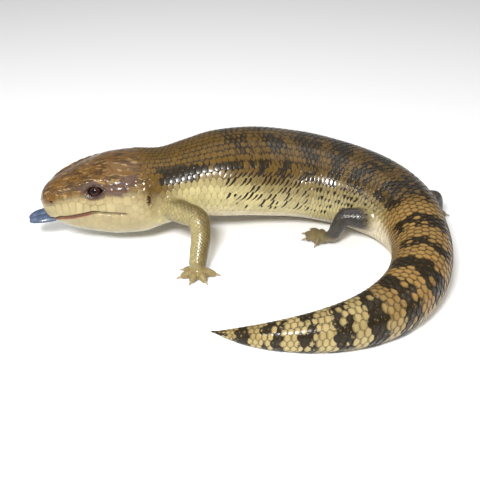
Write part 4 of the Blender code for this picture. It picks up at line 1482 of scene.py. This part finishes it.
def body_scale_values(centres, at, turn, a, b):
    """Numbers for the markings on the points of the body's scales."""
    place, degrees = scale_ground(centres, at, turn)
    values = zones(place, degrees)
    values["dark"] = scale_pattern(centres, at, turn, a, b)
    fore = 1 - np.clip((place - 150) / 90, 0, 1)
    values["rim"] = scale_rims(at, a, b) * (1 - 0.86 * values["flank"] * fore) * (1 - 0.75 * values["belly"])
    values["tone"] = 0.32 + 0.4 * centres[:, 4:5]
    values.update({name: 0.0 for name in ("limb", "shank", "foot", "pale", "pit", "lip", "temple")})
    return {name: np.broadcast_to(value, at.shape) for name, value in values.items()}


class BodyScales:
    """Makes the scales between two distances along the spine as one joined mesh."""

    first = 0.0
    last = 0.0
    piece = ""
    slot = ""
    coat = 0.0
    rim_depth = 0.0

    def execute(self, context):
        sizes = context.scene.skink_sizes
        centres = body_scale_centres(self.first, self.last)
        leg_far, _, _ = outside_legs(skin_at(centres[:, 0] * MM, np.radians(centres[:, 1])))
        centres = centres[leg_far >= -SCALES_IN_LEG]
        shape = np.stack([
            centres[:, 0] * MM, np.radians(centres[:, 1]), centres[:, 2] * sizes.scale_overlap * MM,
            np.radians(centres[:, 3]) * PLATE_WIDENING, slant_of_flank(centres[:, 0], centres[:, 1]),
        ], -1)
        surface, at, turn, a, b = plates(
            shape, FULL_PLATE, (sizes.scale_rise, sizes.scale_crown), raised_skin
        )
        mesh = build_mesh(self.piece, *surface)
        set_values(mesh, body_scale_values(centres, at, turn, a, b))
        round_share = (centres[:, 1] + 180) % 360 / 360
        middles = np.stack([0.02 + 0.96 * centres[:, 0] / 424, 0.30 + 0.68 * round_share], -1)
        bake_map(mesh, middles, a, b)
        material = skin_material(
            self.piece + " finish", context.scene.skink_colours, self.coat, 0.08 * MM, self.rim_depth
        )
        add_piece(self.piece, mesh, material)
        return {"FINISHED"}


class SKINK_OT_scales_neck(BodyScales, bpy.types.Operator):
    """Lay the scales of the nape and fore body"""

    bl_idname = "skink.scales_neck"
    bl_label = "Scales of the neck and fore body"
    first, last = 0.0, 134.0
    piece, slot = "scales_neck", "body_skin"
    coat, rim_depth = 0.34, 0.72


class SKINK_OT_scales_torso(BodyScales, bpy.types.Operator):
    """Lay the scales of the hind body"""

    bl_idname = "skink.scales_torso"
    bl_label = "Scales of the hind body"
    first, last = 134.0, 240.0
    piece, slot = "scales_torso", "body_skin"
    coat, rim_depth = 0.75, 0.72


class SKINK_OT_scales_tail(BodyScales, bpy.types.Operator):
    """Lay the scales of the tail"""

    bl_idname = "skink.scales_tail"
    bl_label = "Scales of the tail"
    first, last = 240.0, 425.0
    piece, slot = "scales_tail", "tail_skin"
    coat, rim_depth = 0.25, 0.9


def leg_scale_centres(name, pitch):
    """Middles of a leg's scales in rings down the leg, outside the body, with fewer rows lower."""
    draw = np.random.default_rng(11)
    at, path, _, _ = LEG_TABLES[name]
    rings = []
    place = 2 * MM
    number = 0
    while place < at[-1] - 1.2 * MM:
        radius = np.interp(place, at, path[:, 3])
        rows = int(round(math.pi * radius / pitch))
        angle = (np.arange(rows) + 0.5 * (number % 2)) * 2 * math.pi / rows
        rings.append(np.stack([
            np.full(rows, place), angle + draw.normal(0, 0.02, rows), np.full(rows, 1.1 * pitch),
            np.full(rows, 0.667 * math.pi / rows), draw.random(rows),
        ], -1))
        place += 0.55 * pitch
        number += 1
    every = np.concatenate(rings)
    middle = leg_at(name, every[:, 0], every[:, 1])
    _, _, body_far = outside_body(middle)
    return every[(body_far > -0.6 * MM) & (middle[:, 2] > 5.6 * MM)]


def leg_scale_values(mesh, points, draw, hind, a, b):
    """Numbers for the markings on the points of a leg's scales. hind is 1 on a hind leg."""
    along, angle, body_far = outside_body(points)
    from_body = ease(*LEAVES_BODY, body_far)
    values = zones(along / MM, signed_degrees(angle))
    values["limb"] = from_body
    values["shank"] = hind * from_body
    values["foot"] = (1 - ease(*ANKLE, points[:, 2])) * (1 - HIND_FOOT_DARK * hind)
    values["pale"] = pale_side(mesh)
    values["dark"] = np.where(draw > 0.93, 0.30 * hind, 0.0)
    values["tone"] = 0.2 + 0.6 * draw
    rim = np.maximum(ease(0.8, 0.98, b), ease(0.8, 0.98, np.abs(a)))
    values["rim"] = np.tile(rim, len(points) // len(rim)) * 0.20
    values.update({name: np.zeros(len(points)) for name in ("head", "tail", "pit", "lip", "temple")})
    return values


class SKINK_OT_scales_legs(bpy.types.Operator):
    """Lay the small scales of the four legs"""

    bl_idname = "skink.scales_legs"
    bl_label = "Scales of the legs"

    def execute(self, context):
        sizes = context.scene.skink_sizes
        for number, name in enumerate(LEGS):
            centres = leg_scale_centres(name, sizes.leg_scale)
            surface, _, _, a, b = plates(
                centres * (1, 1, sizes.scale_overlap, PLATE_WIDENING, 0),
                SMALL_PLATE, (0.26 * sizes.scale_rise, 0.2 * sizes.scale_crown),
                lambda along, angle, lift, leg=name: leg_at(leg, along, angle, lift),
            )
            piece = "scales_" + name
            mesh = build_mesh(piece, *surface)
            hind = float(number >= FIRST_HIND_LEG)
            draw = np.repeat(centres[:, 4], len(a))
            set_values(mesh, leg_scale_values(mesh, surface[0], draw, hind, a, b))
            length = LEG_TABLES[name][0][-1]
            round_share = centres[:, 1] / (2 * math.pi) % 1
            middles = np.stack([
                0.01 + 0.25 * number + 0.22 * centres[:, 0] / length, 0.02 + 0.24 * round_share
            ], -1)
            bake_map(mesh, middles, a, b)
            material = skin_material(piece + " finish", context.scene.skink_colours, 0.45, 0.06 * MM, 0.5)
            add_piece(piece, mesh, material)
        return {"FINISHED"}


def eye_material(colours):
    """A wet dark eye: black round pupil, reddish brown iris with fine rays, under a clear coat. The
    bounds are angles from the middle of the pupil."""
    material, tree, shader = new_material("skink eye", {
        "Roughness": 0.2, "Specular IOR Level": 0.1, "Coat Weight": 0.25, "Coat Roughness": 0.02,
    })
    gaze = read_value(tree, "gaze")
    rays = stretch(tree, noise(tree, 2600.0, 2.0), 0.3, 0.7)
    iris = mix_colours(tree, rays, rgba(colours.iris), IRIS_RAYS)
    ring = math_node(tree, "MULTIPLY", stretch(tree, gaze, 0.38, 0.41), stretch(tree, gaze, 0.47, 0.43))
    iris = mix_colours(tree, math_node(tree, "MULTIPLY", ring, 0.15), iris, IRIS_RING)
    outer = mix_colours(tree, stretch(tree, gaze, 0.78, 0.95), iris, EYE_EDGE)
    whole = mix_colours(tree, stretch(tree, gaze, 0.38, 0.33), outer, PUPIL)
    tree.links.new(whole, shader.inputs["Base Color"])
    return material


class SKINK_OT_eyes(bpy.types.Operator):
    """Make the two eyes, each a ball with a raised cornea"""

    bl_idname = "skink.eyes"
    bl_label = "Eyes"

    def execute(self, context):
        material = eye_material(context.scene.skink_colours)
        fall = np.linspace(0, math.pi, 41)[1:-1]
        turn = np.linspace(0, 2 * math.pi, 48, endpoint=False)
        ball = EYE_RADIUS - EYE_GAP
        radius = ball + CORNEA_RISE * ease(0.75, 0.30, fall)
        for side, node in ((1, "eye_left"), (-1, "eye_right")):
            origin, to_tail, _, out = place_on_skin(EYE_PLACE, side)
            second = np.cross(out, to_tail)
            centre = origin - out * (EYE_DEPTH - EYE_GAP)
            ring = np.sin(fall)[:, None, None] * (
                np.cos(turn)[None, :, None] * to_tail + np.sin(turn)[None, :, None] * second
            )
            rings = centre + radius[:, None, None] * (ring + np.cos(fall)[:, None, None] * out)
            front = centre + out * (EYE_RADIUS + 0.2 * MM)
            mesh = build_mesh(node + "_ball", *closed_rings(rings, (front, centre - out * ball), turned=True))
            gaze = np.concatenate([np.repeat(fall, len(turn)), [0.0, math.pi]])
            set_values(mesh, {"gaze": gaze})
            add_piece(node + "_ball", mesh, material, (node,))
        return {"FINISHED"}


def tongue_surface():
    """A flat ellipsoid with a notched tip, a groove along its top, papillae and a drooping front,
    rolled a little to one side. Its x runs from the tip to the root, in half lengths."""
    fall = np.linspace(0, math.pi, 61)[1:-1]
    turn = np.linspace(0, 2 * math.pi, 72, endpoint=False)
    x = -np.cos(fall)[:, None] + 0 * turn
    y = np.sin(fall)[:, None] * np.cos(turn)
    z = np.sin(fall)[:, None] ** 0.8 * np.sin(turn)
    tip = ease(-0.55, -1.0, x)
    y = y * np.maximum(1 - x * x, 0.04) ** -TONGUE_FULLNESS
    x = x * (1 - 0.05 * tip * bump(y, 0, 0.2))
    z = z * (1 - 0.30 * bump(y, 0, 0.16) * (z > 0) * ease(-1.0, -0.7, x))
    z = z + 0.05 * np.sin(x * 46 + 3 * np.cos(y * 9)) * np.sin(y * 38) * (z > 0.2)
    local = np.stack([x, y, z], -1) * (np.array(TONGUE_HALF_SIZES) - 0.05 * MM)
    local[..., 2] -= TONGUE_DROOP * np.maximum(0, -x) ** 2
    cos, sin = math.cos(TONGUE_ROLL), math.sin(TONGUE_ROLL)
    aside = cos * local[..., 1:2] - sin * local[..., 2:3]
    rise = sin * local[..., 1:2] + cos * local[..., 2:3]
    spine_x, spine_y, _, heading = (float(value) for value in spine_at(np.array(TONGUE_CENTRE[0])))
    ahead = np.array((math.cos(heading), math.sin(heading), 0.0))
    left = np.array((math.sin(heading), -math.cos(heading), 0.0))
    centre = np.array((spine_x, spine_y, TONGUE_CENTRE[2])) + left * TONGUE_CENTRE[1]
    return closed_rings(centre + local[..., 0:1] * ahead - aside * left + rise * (0.0, 0.0, 1.0))


def tongue_material(colours):
    """A wet blue tongue, mottled paler, with a fine pimpled grain."""
    material, tree, shader = new_material("skink tongue", {"Coat Weight": 0.5, "Coat Roughness": 0.12})
    pale = tuple(min(1.0, value * 1.45 + 0.01) for value in colours.tongue) + (1.0,)
    mottle = stretch(tree, noise(tree, 420.0), 0.35, 0.7)
    fine = noise(tree, 2300.0, 2.0)
    tree.links.new(mix_colours(tree, mottle, rgba(colours.tongue), pale), shader.inputs["Base Color"])
    tree.links.new(stretch(tree, fine, 0.3, 0.7, 0.26, 0.42), shader.inputs["Roughness"])
    add_bump(tree, shader, fine, 0.5, 0.15 * MM)
    return material


class SKINK_OT_tongue(bpy.types.Operator):
    """Make the flat tongue with its middle groove and fine papillae"""

    bl_idname = "skink.tongue"
    bl_label = "Tongue"

    def execute(self, context):
        mesh = build_mesh("tongue_flesh", *tongue_surface())
        add_piece("tongue_flesh", mesh, tongue_material(context.scene.skink_colours), ("tongue",))
        return {"FINISHED"}


def claw_surfaces(name, length):
    """Each claw as a tapering horn that leaves its toe level and bends down to a point."""
    made = []
    for toe in toe_paths(name):
        start = toe[-1, :3]
        ahead = unit((toe[-1, :3] - toe[-3, :3]) * (1, 1, 0))
        step = np.linspace(0, 1, 12)
        reach = (step * 1.25 - 0.25) * length
        drop = step**2 * (start[2] - 0.55 * MM) * 0.95
        centres = start + reach[:, None] * ahead + np.stack([0 * step, 0 * step, 0.2 * MM - drop], -1)
        radii = CLAW_RADIUS * MM * np.sqrt(np.clip(1 - step**1.6, 0.015, 1))
        radii = np.minimum(radii, centres[:, 2] - 0.1 * MM)
        made.append(swept_tube(centres, radii, 12, 1.2))
    return made


def claw_material(colours):
    """Pale horn with darker streaks and a dull shine."""
    material, tree, shader = new_material("skink claw", {"Coat Weight": 0.4, "Coat Roughness": 0.15})
    streaks = stretch(tree, noise(tree, 1500.0), 0.35, 0.7)
    horn = mix_colours(tree, streaks, rgba(colours.claw), HORN_STREAKS)
    tree.links.new(horn, shader.inputs["Base Color"])
    tree.links.new(stretch(tree, noise(tree, 2500.0), 0.3, 0.7, 0.25, 0.4), shader.inputs["Roughness"])
    return material


class SKINK_OT_claws(bpy.types.Operator):
    """Make the claws of the four feet"""

    bl_idname = "skink.claws"
    bl_label = "Claws"

    def execute(self, context):
        material = claw_material(context.scene.skink_colours)
        for name in FEET:
            surfaces = claw_surfaces(name, context.scene.skink_sizes.claw_length)
            mesh = build_mesh("claws_" + name, *joined_surfaces(surfaces))
            add_piece("claws_" + name, mesh, material)
        return {"FINISHED"}


def joined_surfaces(surfaces):
    """Several surfaces as one set of points, quads and triangles."""
    starts = np.cumsum([0] + [len(points) for points, _, _ in surfaces[:-1]])
    points = np.concatenate([points for points, _, _ in surfaces])
    quads = np.concatenate([quads + start for (_, quads, _), start in zip(surfaces, starts)])
    triangles = np.concatenate([triangles + start for (_, _, triangles), start in zip(surfaces, starts)])
    return points, quads, triangles


# The camera's place, target and lens in millimetres, and half of the floor's side in metres.
CAMERA_PLACE = (-3.46, -433.97, 273.3)
CAMERA_TARGET = (-3.46, -6.22, 16.275)
CAMERA_LENS = 66.0
FLOOR_HALF = 3.0

# Each light: name, place and target in millimetres, size in mm and power in watts.
LIGHTS = (
    ("key", (-125, -515, 490), (0, 0, 20), (150, 120), 7.0),
    ("left fill", (-620, -150, 420), (0, 0, 20), (500, 400), 1.1),
    ("right fill", (620, -80, 460), (0, 0, 20), (500, 400), 1.0),
    ("top", (0, 160, 800), (0, 0, 0), (700, 700), 1.8),
)


def look_at(thing, place, target):
    """Places a camera or light and turns it to its target, both in millimetres."""
    place = np.array(place) * MM
    target = np.array(target) * MM
    thing.location = place
    thing.rotation_euler = (Vector(target) - Vector(place)).to_track_quat("-Z", "Y").to_euler()


class SKINK_OT_stage(bpy.types.Operator):
    """Make the floor, the soft lights and the camera"""

    bl_idname = "skink.stage"
    bl_label = "Stage"

    def execute(self, context):
        scene = context.scene
        half = FLOOR_HALF
        corners = np.array(((-half, -half, 0), (half, -half, 0), (half, half, 0), (-half, half, 0)))
        mesh = build_mesh("floor", corners, [(0, 1, 2, 3)], [])
        material, _, _ = new_material("pale floor", {"Base Color": FLOOR_COLOUR, "Roughness": 0.9})
        mesh.materials.append(material)
        add_object("floor", mesh)
        for name, place, target, (width, height), power in LIGHTS:
            lamp = bpy.data.lights.new(name, "AREA")
            lamp.shape = "RECTANGLE"
            lamp.size = width * MM
            lamp.size_y = height * MM
            lamp.energy = power
            look_at(add_object(name, lamp), place, target)
        world = bpy.data.worlds.new("studio")
        world.use_nodes = True
        set_inputs(world.node_tree.nodes["Background"], {"Color": (1.0, 1.0, 1.0, 1), "Strength": 0.32})
        scene.world = world
        lens = bpy.data.cameras.new("camera")
        lens.lens = CAMERA_LENS
        lens.sensor_width = 36.0
        lens.clip_start = 0.01
        scene.camera = add_object("camera", lens)
        look_at(scene.camera, CAMERA_PLACE, CAMERA_TARGET)
        scene.view_settings.view_transform = "Standard"
        return {"FINISHED"}


OPERATORS = (
    SKINK_OT_stage, SKINK_OT_skin, SKINK_OT_scales_neck, SKINK_OT_scales_torso, SKINK_OT_scales_tail,
    SKINK_OT_scales_legs, SKINK_OT_eyes, SKINK_OT_tongue, SKINK_OT_claws,
)


class SKINK_PT_panel(bpy.types.Panel):
    """The sizes, colours and pieces of the skink"""

    bl_idname = "SKINK_PT_panel"
    bl_label = "Skink"
    bl_space_type = "VIEW_3D"
    bl_region_type = "UI"
    bl_category = "Skink"

    def draw(self, context):
        for group in (context.scene.skink_sizes, context.scene.skink_colours):
            column = self.layout.column()
            for name in group.__annotations__:
                column.prop(group, name)
        for operator in OPERATORS:
            self.layout.operator(operator.bl_idname)


CLASSES = (SkinkColours, SkinkSizes, *OPERATORS, SKINK_PT_panel)


def register():
    for kind in CLASSES:
        bpy.utils.register_class(kind)
    bpy.types.Scene.skink_colours = bpy.props.PointerProperty(type=SkinkColours)
    bpy.types.Scene.skink_sizes = bpy.props.PointerProperty(type=SkinkSizes)


def unregister():
    del bpy.types.Scene.skink_sizes
    del bpy.types.Scene.skink_colours
    for kind in reversed(CLASSES):
        bpy.utils.unregister_class(kind)


def main():
    register()
    for operator in OPERATORS:
        family, name = operator.bl_idname.split(".")
        getattr(getattr(bpy.ops, family), name)()


if __name__ == "__main__":
    main()
